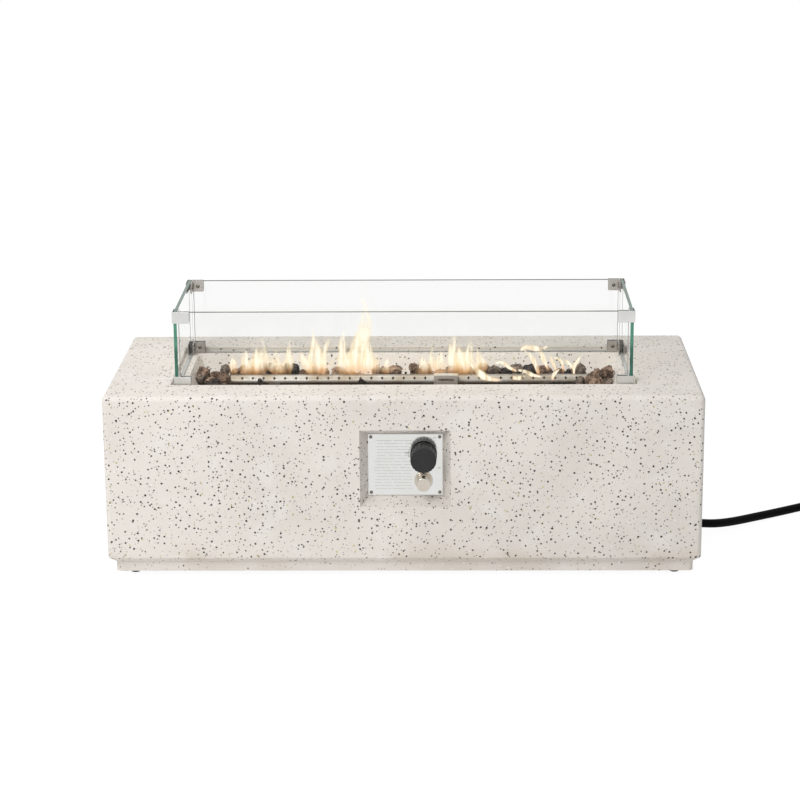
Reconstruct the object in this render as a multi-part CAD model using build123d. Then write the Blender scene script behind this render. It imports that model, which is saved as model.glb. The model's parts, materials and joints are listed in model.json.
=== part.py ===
from build123d import *
import math
import os
import random

# Propane fire pit in millimetres: +Z up, front towards -Y, origin on the floor under its middle.

# Cast body
BODY_W = 1067.0
BODY_D = 450.0
BLOCK_H = 301.0
PLINTH_H = 28.0
PLINTH_INSET = 13.0
SKIRT_H = 11.0
WALL_T = 16.0
TOP_T = 20.0
EDGE_R = 9.0
SKIRT_EDGE_R = 5.0
OPENING_R = 3.0

# Levelling feet
FOOT_H = 11.0
FOOT_R = 9.0
FOOT_INSET = 31.0
STUD_R = 4.0
STUD_L = 26.0
INSERT_R = 7.0
INSERT_L = 24.0
FOOT_EDGE_R = 2.0

# Glass guard and its corner clips
GUARD_W = 824.0
GUARD_D = 264.0
GLASS_H = 140.0
GLASS_T = 6.0
GLASS_BEVEL = 0.6
CLIP_LEG = 31.0
CLIP_H = 21.0
CLIP_T = 1.5
CLIP_BEND_R = 3.0
CLIP_TOP_RISE = 0.5
PAD_T = 1.0
PAD_MARGIN = 1.0
GUARD_FOOT_T = 1.0
GUARD_GAP = 5.0
CLIP_SCREW_R = 2.0
CLIP_HEAD_R = 3.5
CLIP_HEAD_H = 2.2
DOME_SHARE = 0.7

# Fire bowl and burner pan
LEDGE_DROP = 9.0
LEDGE_MARGIN = 8.0
BOWL_DROP = 46.0
SLOPE_RUN = 26.0
HOPPER_T = 10.0
PAN_T = 1.5
PAN_DEEP = 20.0
PAN_FLANGE = 15.0
SCREW_R = 2.5
SCREW_HEAD_R = 4.0
SCREW_HEAD_H = 3.0
SCREW_L = 14.0

# Burner
BURNER_L = 660.0
BURNER_R = 12.5
BURNER_T = 1.2
BURNER_X = 8.0
BURNER_DROP = 19.0
PORT_R = 1.3
PORT_PITCH = 20.0
PORT_RISE = 8.0
CAP_T = 1.5
CAP_PLUG_L = 6.0
BRACKET_SPREAD = 500.0
BRACKET_W = 20.0
BRACKET_T = 2.0
BRACKET_FOOT = 36.0
BRACKET_SCREWS = 26.0

# Mixer and gas line
MIXER_R = 8.0
MIXER_T = 1.2
MIXER_BEND_R = 28.0
MIXER_REACH = 50.0
SHUTTER_R = 13.5
SHUTTER_T = 1.6
SHUTTER_L = 24.0
SHUTTER_LAP = 10.0
ORIFICE_R = 5.0
ORIFICE_BORE_R = 0.9
ORIFICE_HEX = 14.0
ORIFICE_HEX_L = 8.0
ORIFICE_NOSE_L = 8.0
LINE_R = 4.0
LINE_LEAD = 22.0
LINE_BEND_R = 20.0
LINE_NUT_HEX = 17.0
LINE_NUT_L = 12.0

# Flame shield, spark electrode and thermocouple
SHIELD_X = 76.0
SHIELD_W = 44.0
SHIELD_T = 1.2
SHIELD_OUT = 32.0
SHIELD_TOP_DROP = 13.0
SHIELD_HOOD = 17.0
SHIELD_FOOT = 12.0
SHIELD_SLOT_W = 30.0
SHIELD_SLOT_H = 5.0
SHIELD_SLOT_DROP = 6.0
TIP_SPACING = 20.0
TIP_DROP = 18.0
CERAMIC_R = 3.0
CERAMIC_BELOW = 8.0
ROD_R = 0.8
ROD_L = 10.0
COLLAR_EXTRA = 2.0
COLLAR_H = 3.0
THERMO_R = 2.0
LEAD_R = 1.75
CAPILLARY_R = 1.25

# Lava rocks
BED_GAP = 2.0
BED_BELOW_BURNER = 1.0
CHANNEL_GAP = 4.0
ROCK_PITCH = 36.0
ROCK_R = 16.0
ROCK_H = 27.0
FRONT_ROCK_H = 15.0
END_ROCK_R = 19.0
END_ROCK_H = 38.0
ROCK_RINGS = [(6, 0.6, 0.0), (8, 0.97, 0.42), (6, 0.7, 0.82), (2, 0.22, 1.0)]
ROCK_TURN_DEG = 14.0
ROCK_DIP = 0.08
ROCK_ROUGH = 0.86
ROCK_SMALLEST = 0.82
ROCK_SEED = 7

# Control plate in its recess
PANEL_X = 3.5
PANEL_DROP = 133.0
PLATE_W = 133.0
PLATE_H = 113.5
PLATE_T = 1.5
PLATE_GAP = 1.5
PLATE_R = 2.0
RECESS_DEPTH = 28.0
RECESS_TAPER = 13.0
RECESS_WALL = 10.0
WINDOW_MARGIN = 6.0
PLATE_SCREW_INSET = 5.0
PLATE_SCREW_R = 1.5
PLATE_HEAD_R = 3.1
PLATE_HEAD_H = 1.9
PLATE_SCREW_L = 9.0

# Gas valve and knob
KNOB_DX = 32.5
KNOB_DZ = 18.5
KNOB_R = 24.0
KNOB_H = 33.0
KNOB_GAP = 5.0
KNOB_GRIP_STEP = 0.8
KNOB_SKIRT_H = 4.0
KNOB_EDGE = 1.5
KNOB_CAVITY_R = 18.5
KNOB_CAVITY_H = 9.0
KNOB_FLUTES = 20
KNOB_FLUTE_R = 1.4
KNOB_MARK_W = 1.4
KNOB_MARK_L = 9.0
KNOB_MARK_DEEP = 0.6
KNOB_SOCKET = 10.0
KNOB_TRAVEL = 4.0
VALVE_R = 17.0
VALVE_L = 34.0
BUSH_R = 8.0
BUSH_OUT = 10.0
VALVE_NUT_HEX = 22.0
VALVE_NUT_T = 4.0
STEM_R = 4.0
STEM_FLAT = 3.0
STEM_IN = 6.0
PLUG_R = 9.0
PLUG_L = 18.0
PLUG_PORT_R = 3.0
BOSS_R = 8.0
BOSS_OUT = 8.0
PORT_FROM_BACK = 11.0
THERMO_BOSS_R = 4.0
OUTLET_FLANGE_R = 15.0
OUTLET_FLANGE_T = 4.0
OUTLET_R = 5.0
OUTLET_L = 10.0
FITTING_HEX = 19.0
FITTING_HEX_L = 10.0
FITTING_R = 10.0
FITTING_L = 25.0
SPRING_WIRE_R = 0.35
SPRING_TURNS = 2
SPRING_AIR = 0.9

# Igniter
IGNITER_DZ = -29.5
BEZEL_R = 16.5
BEZEL_T = 3.0
BEZEL_COLLAR_R = 14.5
BEZEL_COLLAR_H = 9.0
BEZEL_FLOOR = 1.0
BARREL_R = 11.0
BARREL_L = 37.0
BUTTON_R = 12.5
BUTTON_OUT = 29.0
BUTTON_TRAVEL = 4.0
BUTTON_HOLLOW_R = 9.0
BUTTON_TOP_T = 5.3
BUTTON_STEM_R = 5.0
BUTTON_EDGE = 1.0
BUTTON_RING_R = 7.5
BUTTON_RING_W = 0.8
BUTTON_RING_DEEP = 0.5
IGNITER_NUT_HEX = 27.0
IGNITER_NUT_T = 6.0
SPARK_UNIT_R = 8.9
SPARK_UNIT_L = 15.5
SPARK_FLANGE_T = 3.0
TERMINAL_R = 2.5
TERMINAL_L = 9.0

# Hose, grommet, coil and regulator
HOSE_R = 8.0
HOSE_EXIT_Y = 22.0
HOSE_EXIT_Z = 22.0
INNER_LAST_RUN = 45.5
GROMMET_R = 12.0
GROMMET_FLANGE_R = 15.0
GROMMET_FLANGE_T = 3.0
COIL_X = 900.0
COIL_Y = 127.0
COIL_R = 88.0
COIL_ENTRY_DEG = 121.0
COIL_EDGE_R = 7.0
TIE_T = 1.2
TIE_W = 16.0
TIE_DEG = 250.0
TIE_AIR = 0.7
TAIL_L = 64.0
FERRULE_R = 10.5
FERRULE_L = 26.0
REG_R = 31.0
REG_RIM = 0.8
REG_COVER_R = 33.0
REG_COVER_H = 14.0
REG_COVER_EDGE = 5.0
REG_VENT_R = 5.0
REG_VENT_H = 3.0
REG_BOSS_R = 10.0
REG_BOSS_L = 10.0
NIPPLE_R = 6.0
NIPPLE_L = 25.0
NIPPLE_COLLAR_R = 9.0
NIPPLE_COLLAR_T = 3.0
HANDNUT_R = 22.0
HANDNUT_L = 36.0
HANDNUT_WALL = 8.0
HANDNUT_CAVITY_R = 17.0
HANDNUT_LOBES = 12
HANDNUT_SCALLOP_R = 4.0
HANDNUT_GAP = 3.0

# Clearances
RUN_GAP = 0.05
END_GAP = 0.3
HOLE_GAP = 0.2
CUT = 1.0

# Heights of the main levels
PLINTH_Z = FOOT_H
BLOCK_Z = PLINTH_Z + PLINTH_H
TOP_Z = BLOCK_Z + BLOCK_H
LEDGE_Z = TOP_Z - LEDGE_DROP
BOWL_Z = LEDGE_Z - BOWL_DROP
PAN_FLOOR_Z = BOWL_Z - PAN_DEEP
BURNER_Z = TOP_Z - BURNER_DROP - BURNER_R
BED_Z = BURNER_Z - BURNER_R - BED_BELOW_BURNER
GUARD_Z = LEDGE_Z + GUARD_FOOT_T

# Plan sizes that follow from the guard and the body
PLINTH_W = BODY_W - 2 * PLINTH_INSET
PLINTH_D = BODY_D - 2 * PLINTH_INSET
CLIP_DEEP = 2 * CLIP_T + 2 * PAD_T + GLASS_T
CLIP_X = GUARD_W / 2 + PAD_T + CLIP_T
CLIP_Y = GUARD_D / 2 + PAD_T + CLIP_T
OPEN_W = 2 * (CLIP_X + GUARD_GAP)
OPEN_D = 2 * (CLIP_Y + GUARD_GAP)
LEDGE_W = GUARD_GAP + CLIP_DEEP + LEDGE_MARGIN
BOWL_W = OPEN_W - 2 * LEDGE_W
BOWL_D = OPEN_D - 2 * LEDGE_W
FLOOR_W = BOWL_W - 2 * SLOPE_RUN
FLOOR_D = BOWL_D - 2 * SLOPE_RUN
FOOT_X = PLINTH_W / 2 - FOOT_INSET
FOOT_Y = PLINTH_D / 2 - FOOT_INSET
BURNER_LEFT = BURNER_X - BURNER_L / 2
BURNER_RIGHT = BURNER_X + BURNER_L / 2

# Places on the control plate
FRONT_Y = -BODY_D / 2
PANEL_Z = TOP_Z - PANEL_DROP
PLATE_BACK_Y = FRONT_Y + RECESS_DEPTH
PLATE_FRONT_Y = PLATE_BACK_Y - PLATE_T
KNOB_X = PANEL_X + KNOB_DX
KNOB_Z = PANEL_Z + KNOB_DZ
IGNITER_Z = PANEL_Z + IGNITER_DZ
VALVE_BACK_Y = PLATE_BACK_Y + VALVE_L
VALVE_PORT_Y = VALVE_BACK_Y - PORT_FROM_BACK
THERMO_PORT_Z = KNOB_Z - VALVE_R - BOSS_OUT
BUSH_FRONT_Y = PLATE_BACK_Y - BUSH_OUT
PLUG_FRONT_Y = VALVE_BACK_Y - PLUG_L
KNOB_BACK_Y = PLATE_FRONT_Y - KNOB_GAP
KNOB_FACE_Y = KNOB_BACK_Y - KNOB_H
KNOB_FLOOR_Y = KNOB_BACK_Y - KNOB_CAVITY_H
OUTLET_Y = VALVE_BACK_Y + OUTLET_FLANGE_T + OUTLET_L
BUTTON_FACE_Y = PLATE_FRONT_Y - BUTTON_OUT
BUTTON_SEAT_Y = PLATE_FRONT_Y - BEZEL_FLOOR
BUTTON_BACK_Y = BUTTON_SEAT_Y - BUTTON_TRAVEL - END_GAP
BUTTON_ROOF_Y = BUTTON_FACE_Y + BUTTON_TOP_T
BARREL_END_Y = PLATE_BACK_Y + BARREL_L
SPARK_FRONT_Y = BARREL_END_Y - SPARK_UNIT_L
TERMINAL_END_Y = BARREL_END_Y + SPARK_FLANGE_T + TERMINAL_L

# Places of the mixer, the electrode and the thermocouple
SHUTTER_FRONT_Y = -MIXER_REACH - SHUTTER_L + SHUTTER_LAP
ORIFICE_Y = SHUTTER_FRONT_Y - ORIFICE_HEX_L
TIP_Y = -SHIELD_OUT + SHIELD_HOOD / 2
SPARK_X = SHIELD_X - TIP_SPACING / 2
THERMO_X = SHIELD_X + TIP_SPACING / 2
TIP_Z = TOP_Z - TIP_DROP
STEM_FOOT_Z = PAN_FLOOR_Z - PAN_T - CERAMIC_BELOW

# Places along the hose
HOSE_EXIT_X = PLINTH_W / 2 + GROMMET_FLANGE_T
FITTING_END_X = KNOB_X + VALVE_R + BOSS_OUT + FITTING_HEX_L + FITTING_L
COIL_OUT_R = COIL_R + 2 * HOSE_R
COIL_IN_R = COIL_R - 2 * HOSE_R
OUTER_TURN_R = COIL_R + HOSE_R
TAIL_X = COIL_X + OUTER_TURN_R
TAIL_Z = TIE_T + 3 * HOSE_R
FERRULE_Y = COIL_Y - TAIL_L
REG_Y = FERRULE_Y - FERRULE_L - REG_BOSS_L - REG_R
REG_BODY_H = TAIL_Z + REG_BOSS_R + REG_RIM
INLET_Y = REG_Y - REG_R - REG_BOSS_L
HANDNUT_BACK_Y = INLET_Y - HANDNUT_GAP

INNER_END_X = HOSE_EXIT_X - INNER_LAST_RUN
INNER_SPAN = INNER_END_X - FITTING_END_X
INNER_ROUTE = [
    (FITTING_END_X, VALVE_PORT_Y, KNOB_Z),
    (FITTING_END_X + 0.181 * INNER_SPAN, VALVE_PORT_Y, KNOB_Z),
    (FITTING_END_X + 0.377 * INNER_SPAN, -154.0, 178.0),
    (FITTING_END_X + 0.513 * INNER_SPAN, -116.0, 98.0),
    (FITTING_END_X + 0.618 * INNER_SPAN, -68.0, 24.0),
    (FITTING_END_X + 0.738 * INNER_SPAN, -28.0, 9.0),
    (FITTING_END_X + 0.869 * INNER_SPAN, 4.0, 15.0),
    (INNER_END_X, HOSE_EXIT_Y, HOSE_EXIT_Z),
    (HOSE_EXIT_X, HOSE_EXIT_Y, HOSE_EXIT_Z),
]

OUTER_ROUTE = [
    (HOSE_EXIT_X, HOSE_EXIT_Y, HOSE_EXIT_Z),
    (554.0, HOSE_EXIT_Y, HOSE_EXIT_Z),
    (588.0, 33.0, 17.0),
    (626.0, 61.5, 12.0),
    (672.0, 97.0, 9.3),
    (722.0, 131.0, 8.0),
    (772.0, 164.0, 8.0),
    (816.0, 190.0, 8.5),
    (
        COIL_X + OUTER_TURN_R * math.cos(math.radians(COIL_ENTRY_DEG)),
        COIL_Y + OUTER_TURN_R * math.sin(math.radians(COIL_ENTRY_DEG)),
        TIE_T + HOSE_R,
    ),
]


# Shape helpers
def block(x0, x1, y0, y1, z0, z1):
    return Pos((x0 + x1) / 2, (y0 + y1) / 2, (z0 + z1) / 2) * Box(x1 - x0, y1 - y0, z1 - z0)


def rod_x(y, z, r, x0, x1):
    return Pos((x0 + x1) / 2, y, z) * Rot(0, 90, 0) * Cylinder(r, x1 - x0)


def rod_y(x, z, r, y0, y1):
    return Pos(x, (y0 + y1) / 2, z) * Rot(90, 0, 0) * Cylinder(r, y1 - y0)


def rod_z(x, y, r, z0, z1):
    return Pos(x, y, (z0 + z1) / 2) * Cylinder(r, z1 - z0)


def ring_y(x, z, r_out, r_in, y0, y1):
    return rod_y(x, z, r_out, y0, y1) - rod_y(x, z, r_in, y0 - CUT, y1 + CUT)


def hex_y(x, z, across, y0, y1):
    plane = Plane(origin=(x, y0, z), x_dir=(1, 0, 0), z_dir=(0, 1, 0))
    return extrude(plane * RegularPolygon(across / 2, 6, major_radius=False), amount=y1 - y0)


def hex_x(y, z, across, x0, x1):
    plane = Plane(origin=(x0, y, z), x_dir=(0, 1, 0), z_dir=(1, 0, 0))
    return extrude(plane * RegularPolygon(across / 2, 6, major_radius=False), amount=x1 - x0)


def flatted_rod_y(x, z, r, flat, y0, y1):
    """A rod along Y with one flat along its top."""
    return rod_y(x, z, r, y0, y1) - block(x - 2 * r, x + 2 * r, y0 - CUT, y1 + CUT, z + flat, z + 2 * r)


def edges_at(part, axis, value):
    """The edges whose middle lies at a value along an axis."""
    tolerance = 1e-3
    return [e for e in part.edges() if abs(getattr(e.center(), axis) - value) < tolerance]


def dome_head_y(x, z, r, h, y_seat, side):
    """A domed screw head standing on a plane across Y, towards side."""
    low = min(y_seat, y_seat + side * h)
    head = rod_y(x, z, r, low, low + h)
    return fillet(edges_at(head, "Y", y_seat + side * h), h * DOME_SHARE)


def dome_head_x(y, z, r, h, x_seat, side):
    """A domed screw head standing on a plane across X, towards side."""
    low = min(x_seat, x_seat + side * h)
    head = rod_x(y, z, r, low, low + h)
    return fillet(edges_at(head, "X", x_seat + side * h), h * DOME_SHARE)


def tube_along(points, r, radii):
    """A round bar along straight runs joined by tangent arcs."""
    path = FilletPolyline(*points, radius=radii)
    start = Plane(origin=path @ 0, z_dir=path % 0)
    return sweep(start * Circle(r), path=path), path


def cord_radii(points):
    """The arc radius at each inner point: as large as its two runs allow."""
    share = 0.45
    radii = []
    for before, here, after in zip(points, points[1:], points[2:]):
        run_in = Vector(here) - Vector(before)
        run_out = Vector(after) - Vector(here)
        half_turn = math.radians(run_in.get_angle(run_out)) / 2
        radii.append(share * min(run_in.length, run_out.length) / math.tan(half_turn))
    return radii


def cord_tube(name, points, r):
    """A cord's tube, with its arc radii and its volume against section times length printed."""
    radii = cord_radii(points)
    tube, path = tube_along(points, r, radii)
    wanted = math.pi * r * r * path.length
    print(name, "radii", [round(v) for v in radii], "length", round(path.length))
    print(name, "volume share", round(tube.volume / wanted, 4))
    return tube


def coil_spring_y(x, z, r, y0, y1, turns):
    """A coil spring along Y, clear of what it stands between."""
    reach = y1 - y0 - SPRING_AIR
    helix = Helix(pitch=reach / turns, height=reach, radius=r)
    wire = sweep(Plane(origin=helix @ 0, z_dir=helix % 0) * Circle(SPRING_WIRE_R), path=helix, is_frenet=True)
    return Pos(x, y1 - SPRING_AIR / 2, z) * Rot(90, 0, 0) * wire


def save(name, *pieces):
    solids = [solid for piece in pieces for solid in piece.solids()]
    shape = solids[0] if len(solids) == 1 else Compound(solids)
    export_step(shape, os.path.join("parts", name + ".step"))


# Cast body
def pan_screw_places():
    """Where the pan's screws go into the body's underside."""
    side_x = FLOOR_W / 2 + (PAN_T + PAN_FLANGE) / 2
    side_y = FLOOR_D / 2 + (PAN_T + PAN_FLANGE) / 2
    long_sides = [(x, y) for x in (-FLOOR_W / 3, 0.0, FLOOR_W / 3) for y in (-side_y, side_y)]
    return long_sides + [(-side_x, 0.0), (side_x, 0.0)]


def plate_screw_places():
    """Where the control plate's corner screws go, as X and Z."""
    dx = PLATE_W / 2 - PLATE_SCREW_INSET
    dz = PLATE_H / 2 - PLATE_SCREW_INSET
    return [(PANEL_X + sx * dx, PANEL_Z + sz * dz) for sx in (-1, 1) for sz in (-1, 1)]


def foot_places():
    """The name and place of each foot."""
    return [
        ("front_left", -FOOT_X, -FOOT_Y),
        ("front_right", FOOT_X, -FOOT_Y),
        ("back_left", -FOOT_X, FOOT_Y),
        ("back_right", FOOT_X, FOOT_Y),
    ]


def body_outside():
    upper = block(-BODY_W / 2, BODY_W / 2, -BODY_D / 2, BODY_D / 2, BLOCK_Z, TOP_Z)
    upper = fillet(upper.edges().filter_by(Axis.Z) + edges_at(upper, "Z", TOP_Z), EDGE_R)
    skirt_low = Plane.XY.offset(BLOCK_Z - SKIRT_H) * RectangleRounded(PLINTH_W, PLINTH_D, EDGE_R)
    skirt_high = Plane.XY.offset(BLOCK_Z) * RectangleRounded(BODY_W, BODY_D, EDGE_R)
    body = upper + loft([skirt_low, skirt_high])
    body = fillet(edges_at(body, "Z", BLOCK_Z), SKIRT_EDGE_R)
    plinth = block(-PLINTH_W / 2, PLINTH_W / 2, -PLINTH_D / 2, PLINTH_D / 2, PLINTH_Z, BLOCK_Z - SKIRT_H)
    return body + fillet(plinth.edges().filter_by(Axis.Z), EDGE_R)


def body_hollow():
    in_w = PLINTH_W / 2 - WALL_T
    in_d = PLINTH_D / 2 - WALL_T
    up_w = BODY_W / 2 - WALL_T
    up_d = BODY_D / 2 - WALL_T
    hollow = block(-in_w, in_w, -in_d, in_d, PLINTH_Z - CUT, BLOCK_Z + WALL_T + CUT)
    hollow += block(-up_w, up_w, -up_d, up_d, BLOCK_Z + WALL_T, TOP_Z - TOP_T)
    hop_w = BOWL_W / 2 + HOPPER_T
    hop_d = BOWL_D / 2 + HOPPER_T
    hollow -= block(-hop_w, hop_w, -hop_d, hop_d, BOWL_Z, TOP_Z)
    box_w = PLATE_W / 2 + PLATE_GAP + RECESS_TAPER + RECESS_WALL
    box_h = PLATE_H / 2 + PLATE_GAP + RECESS_TAPER + RECESS_WALL
    hollow -= block(
        PANEL_X - box_w,
        PANEL_X + box_w,
        FRONT_Y,
        PLATE_BACK_Y + RECESS_WALL,
        PANEL_Z - box_h,
        PANEL_Z + box_h,
    )
    boss_top = PLINTH_Z + STUD_L + WALL_T
    for _, x, y in foot_places():
        hollow -= block(
            x - FOOT_INSET, x + FOOT_INSET, y - FOOT_INSET, y + FOOT_INSET, PLINTH_Z - 2 * CUT, boss_top
        )
    return hollow


def bowl_cut():
    """The guard's stepped rim and the sloping bowl below it."""
    rim = block(-OPEN_W / 2, OPEN_W / 2, -OPEN_D / 2, OPEN_D / 2, LEDGE_Z, TOP_Z + CUT)
    top = Plane.XY.offset(LEDGE_Z) * Rectangle(BOWL_W, BOWL_D)
    bottom = Plane.XY.offset(BOWL_Z) * Rectangle(FLOOR_W, FLOOR_D)
    return rim + loft([bottom, top])


def recess_cut():
    """The tapered recess in the front and the window behind the control plate."""
    floor_w = PLATE_W + 2 * PLATE_GAP
    floor_h = PLATE_H + 2 * PLATE_GAP
    mouth = Plane(origin=(PANEL_X, FRONT_Y, PANEL_Z), x_dir=(1, 0, 0), z_dir=(0, -1, 0))
    floor = Plane(origin=(PANEL_X, PLATE_BACK_Y, PANEL_Z), x_dir=(1, 0, 0), z_dir=(0, -1, 0))
    taper = loft(
        [
            floor * Rectangle(floor_w, floor_h),
            mouth * Rectangle(floor_w + 2 * RECESS_TAPER, floor_h + 2 * RECESS_TAPER),
        ]
    )
    half_w = PLATE_W / 2 - WINDOW_MARGIN
    half_h = PLATE_H / 2 - WINDOW_MARGIN
    window = block(
        PANEL_X - half_w,
        PANEL_X + half_w,
        PLATE_BACK_Y - CUT,
        PLATE_BACK_Y + RECESS_WALL + CUT,
        PANEL_Z - half_h,
        PANEL_Z + half_h,
    )
    corner_half = PLATE_SCREW_INSET + PLATE_SCREW_R + WINDOW_MARGIN
    for x, z in plate_screw_places():
        window -= block(
            x - corner_half,
            x + corner_half,
            PLATE_BACK_Y - 2 * CUT,
            PLATE_BACK_Y + RECESS_WALL + 2 * CUT,
            z - corner_half,
            z + corner_half,
        )
    return taper + window


def hose_notch():
    """The arch in the plinth's right wall for the hose, and a pocket for the grommet's flange."""
    x0 = PLINTH_W / 2 - WALL_T - CUT
    x1 = PLINTH_W / 2 + CUT
    arch = rod_x(HOSE_EXIT_Y, HOSE_EXIT_Z, GROMMET_R, x0, x1)
    y0 = HOSE_EXIT_Y - GROMMET_R
    y1 = HOSE_EXIT_Y + GROMMET_R
    arch += block(x0, x1, y0, y1, PLINTH_Z - CUT, HOSE_EXIT_Z)
    flange_r = GROMMET_FLANGE_R + END_GAP
    return arch + rod_x(HOSE_EXIT_Y, HOSE_EXIT_Z, flange_r, PLINTH_W / 2, BODY_W / 2 + CUT)


def concrete_body():
    body = body_outside() - body_hollow() - bowl_cut() - recess_cut() - hose_notch()
    for x, y in pan_screw_places():
        body -= rod_z(x, y, SCREW_R + RUN_GAP, BOWL_Z - CUT, BOWL_Z + SCREW_L + CUT)
    for x, z in plate_screw_places():
        body -= rod_y(x, z, PLATE_SCREW_R + RUN_GAP, PLATE_BACK_Y - CUT, PLATE_BACK_Y + RECESS_WALL + CUT)
    for _, x, y in foot_places():
        body -= rod_z(x, y, INSERT_R + RUN_GAP, PLINTH_Z - CUT, PLINTH_Z + STUD_L + CUT)
    rim = [
        e
        for e in edges_at(body, "Z", TOP_Z)
        if abs(e.center().X) <= OPEN_W / 2 + CUT and abs(e.center().Y) <= OPEN_D / 2 + CUT
    ]
    return fillet(rim, OPENING_R)


# Feet
def foot(x, y):
    """A round black glide on its threaded stud."""
    pad = rod_z(x, y, FOOT_R, 0.0, FOOT_H)
    pad = fillet(edges_at(pad, "Z", 0.0), FOOT_EDGE_R)
    return pad + rod_z(x, y, STUD_R, FOOT_H - CUT, FOOT_H + STUD_L)


def foot_insert(x, y):
    sleeve = rod_z(x, y, INSERT_R, PLINTH_Z, PLINTH_Z + INSERT_L)
    return sleeve - rod_z(x, y, STUD_R + RUN_GAP, PLINTH_Z - CUT, PLINTH_Z + INSERT_L + CUT)


# Glass guard
def corner_block(sx, sy, a0, a1, b0, b1, z0, z1):
    """A block given by its distances in from one outer corner of the guard's clips."""
    xs = sorted((sx * (CLIP_X - a0), sx * (CLIP_X - a1)))
    ys = sorted((sy * (CLIP_Y - b0), sy * (CLIP_Y - b1)))
    return block(xs[0], xs[1], ys[0], ys[1], z0, z1)


def guard_corners():
    return [(sx, sy) for sx in (-1, 1) for sy in (-1, 1)]


def clip_levels():
    top = GUARD_Z + GLASS_H + CLIP_TOP_RISE
    return {"bottom_clips": GUARD_Z, "top_clips": top - CLIP_H}


def screw_middle():
    """How far in from the clip's corner the screw of each leg sits."""
    return (CLIP_DEEP + CLIP_LEG) / 2


def corner_clip(sx, sy, z0):
    """An outer and an inner angle of sheet, joined by a web past the front or back pane's end."""
    z1 = z0 + CLIP_H
    inner = CLIP_DEEP - CLIP_T
    clip = corner_block(sx, sy, 0, CLIP_LEG, 0, CLIP_LEG, z0, z1)
    corner = (sx * CLIP_X, sy * CLIP_Y, (z0 + z1) / 2)
    clip = fillet(clip.edges().filter_by(Axis.Z).sort_by_distance(corner)[0], CLIP_BEND_R)
    clip -= corner_block(sx, sy, CLIP_T, CLIP_LEG + CUT, CLIP_T, CLIP_LEG + CUT, z0 - CUT, z1 + CUT)
    clip += corner_block(sx, sy, inner, CLIP_LEG, inner, CLIP_DEEP, z0, z1)
    clip += corner_block(sx, sy, inner, CLIP_DEEP, CLIP_T / 2, CLIP_LEG, z0, z1)
    middle = z0 + CLIP_H / 2
    r = CLIP_SCREW_R + RUN_GAP
    near_x = sx * (CLIP_X - screw_middle())
    near_y = sy * (CLIP_Y - screw_middle())
    plate_x = sorted((sx * (CLIP_X - inner), sx * (CLIP_X - CLIP_DEEP)))
    plate_y = sorted((sy * (CLIP_Y - inner), sy * (CLIP_Y - CLIP_DEEP)))
    clip -= rod_y(near_x, middle, r, plate_y[0], plate_y[1])
    clip -= rod_x(near_y, middle, r, plate_x[0], plate_x[1])
    return clip


def clip_screws(sx, sy, z0):
    """The two dome screws of one clip, which press on the glass pads from inside."""
    middle = z0 + CLIP_H / 2
    inner = CLIP_DEEP - CLIP_T
    near_x = sx * (CLIP_X - screw_middle())
    near_y = sy * (CLIP_Y - screw_middle())
    face_x = sx * (CLIP_X - CLIP_DEEP)
    face_y = sy * (CLIP_Y - CLIP_DEEP)
    pad_x = sx * (CLIP_X - inner)
    pad_y = sy * (CLIP_Y - inner)
    along_y = dome_head_y(near_x, middle, CLIP_HEAD_R, CLIP_HEAD_H, face_y, -sy)
    along_y += rod_y(near_x, middle, CLIP_SCREW_R, min(face_y, pad_y), max(face_y, pad_y))
    along_x = dome_head_x(near_y, middle, CLIP_HEAD_R, CLIP_HEAD_H, face_x, -sx)
    along_x += rod_x(near_y, middle, CLIP_SCREW_R, min(face_x, pad_x), max(face_x, pad_x))
    return [along_y, along_x]


def clip_pads(sx, sy, z0):
    """Rubber pads between one clip and its two panes."""
    low = z0 + PAD_MARGIN
    high = z0 + CLIP_H - PAD_MARGIN
    start = CLIP_DEEP + PAD_MARGIN
    end = CLIP_LEG - PAD_MARGIN
    pads = []
    for face in (CLIP_T, CLIP_T + PAD_T + GLASS_T):
        pads.append(corner_block(sx, sy, start, end, face, face + PAD_T, low, high))
        pads.append(corner_block(sx, sy, face, face + PAD_T, start, end, low, high))
    return pads


def glass_panels():
    """The four panes: the side ones run the full depth, the others end at the clips' webs."""
    reach_x = CLIP_X - CLIP_DEEP - PAD_MARGIN / 2
    out_x = GUARD_W / 2
    out_y = GUARD_D / 2
    z1 = GUARD_Z + GLASS_H
    panes = {
        "glass_front": block(-reach_x, reach_x, -out_y, -out_y + GLASS_T, GUARD_Z, z1),
        "glass_back": block(-reach_x, reach_x, out_y - GLASS_T, out_y, GUARD_Z, z1),
        "glass_left": block(-out_x, -out_x + GLASS_T, -out_y, out_y, GUARD_Z, z1),
        "glass_right": block(out_x - GLASS_T, out_x, -out_y, out_y, GUARD_Z, z1),
    }
    return {name: chamfer(pane.edges(), GLASS_BEVEL) for name, pane in panes.items()}


def guard_foot(sx, sy):
    low = CLIP_T / 2
    high = CLIP_DEEP - CLIP_T / 2
    return corner_block(sx, sy, low, high, low, high, LEDGE_Z, GUARD_Z)


# Burner pan
def bracket_places():
    return [BURNER_X - BRACKET_SPREAD / 2, BURNER_X + BRACKET_SPREAD / 2]


def bracket_screw_places():
    return [(x, sy * BRACKET_SCREWS / 2) for x in bracket_places() for sy in (-1, 1)]


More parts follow.
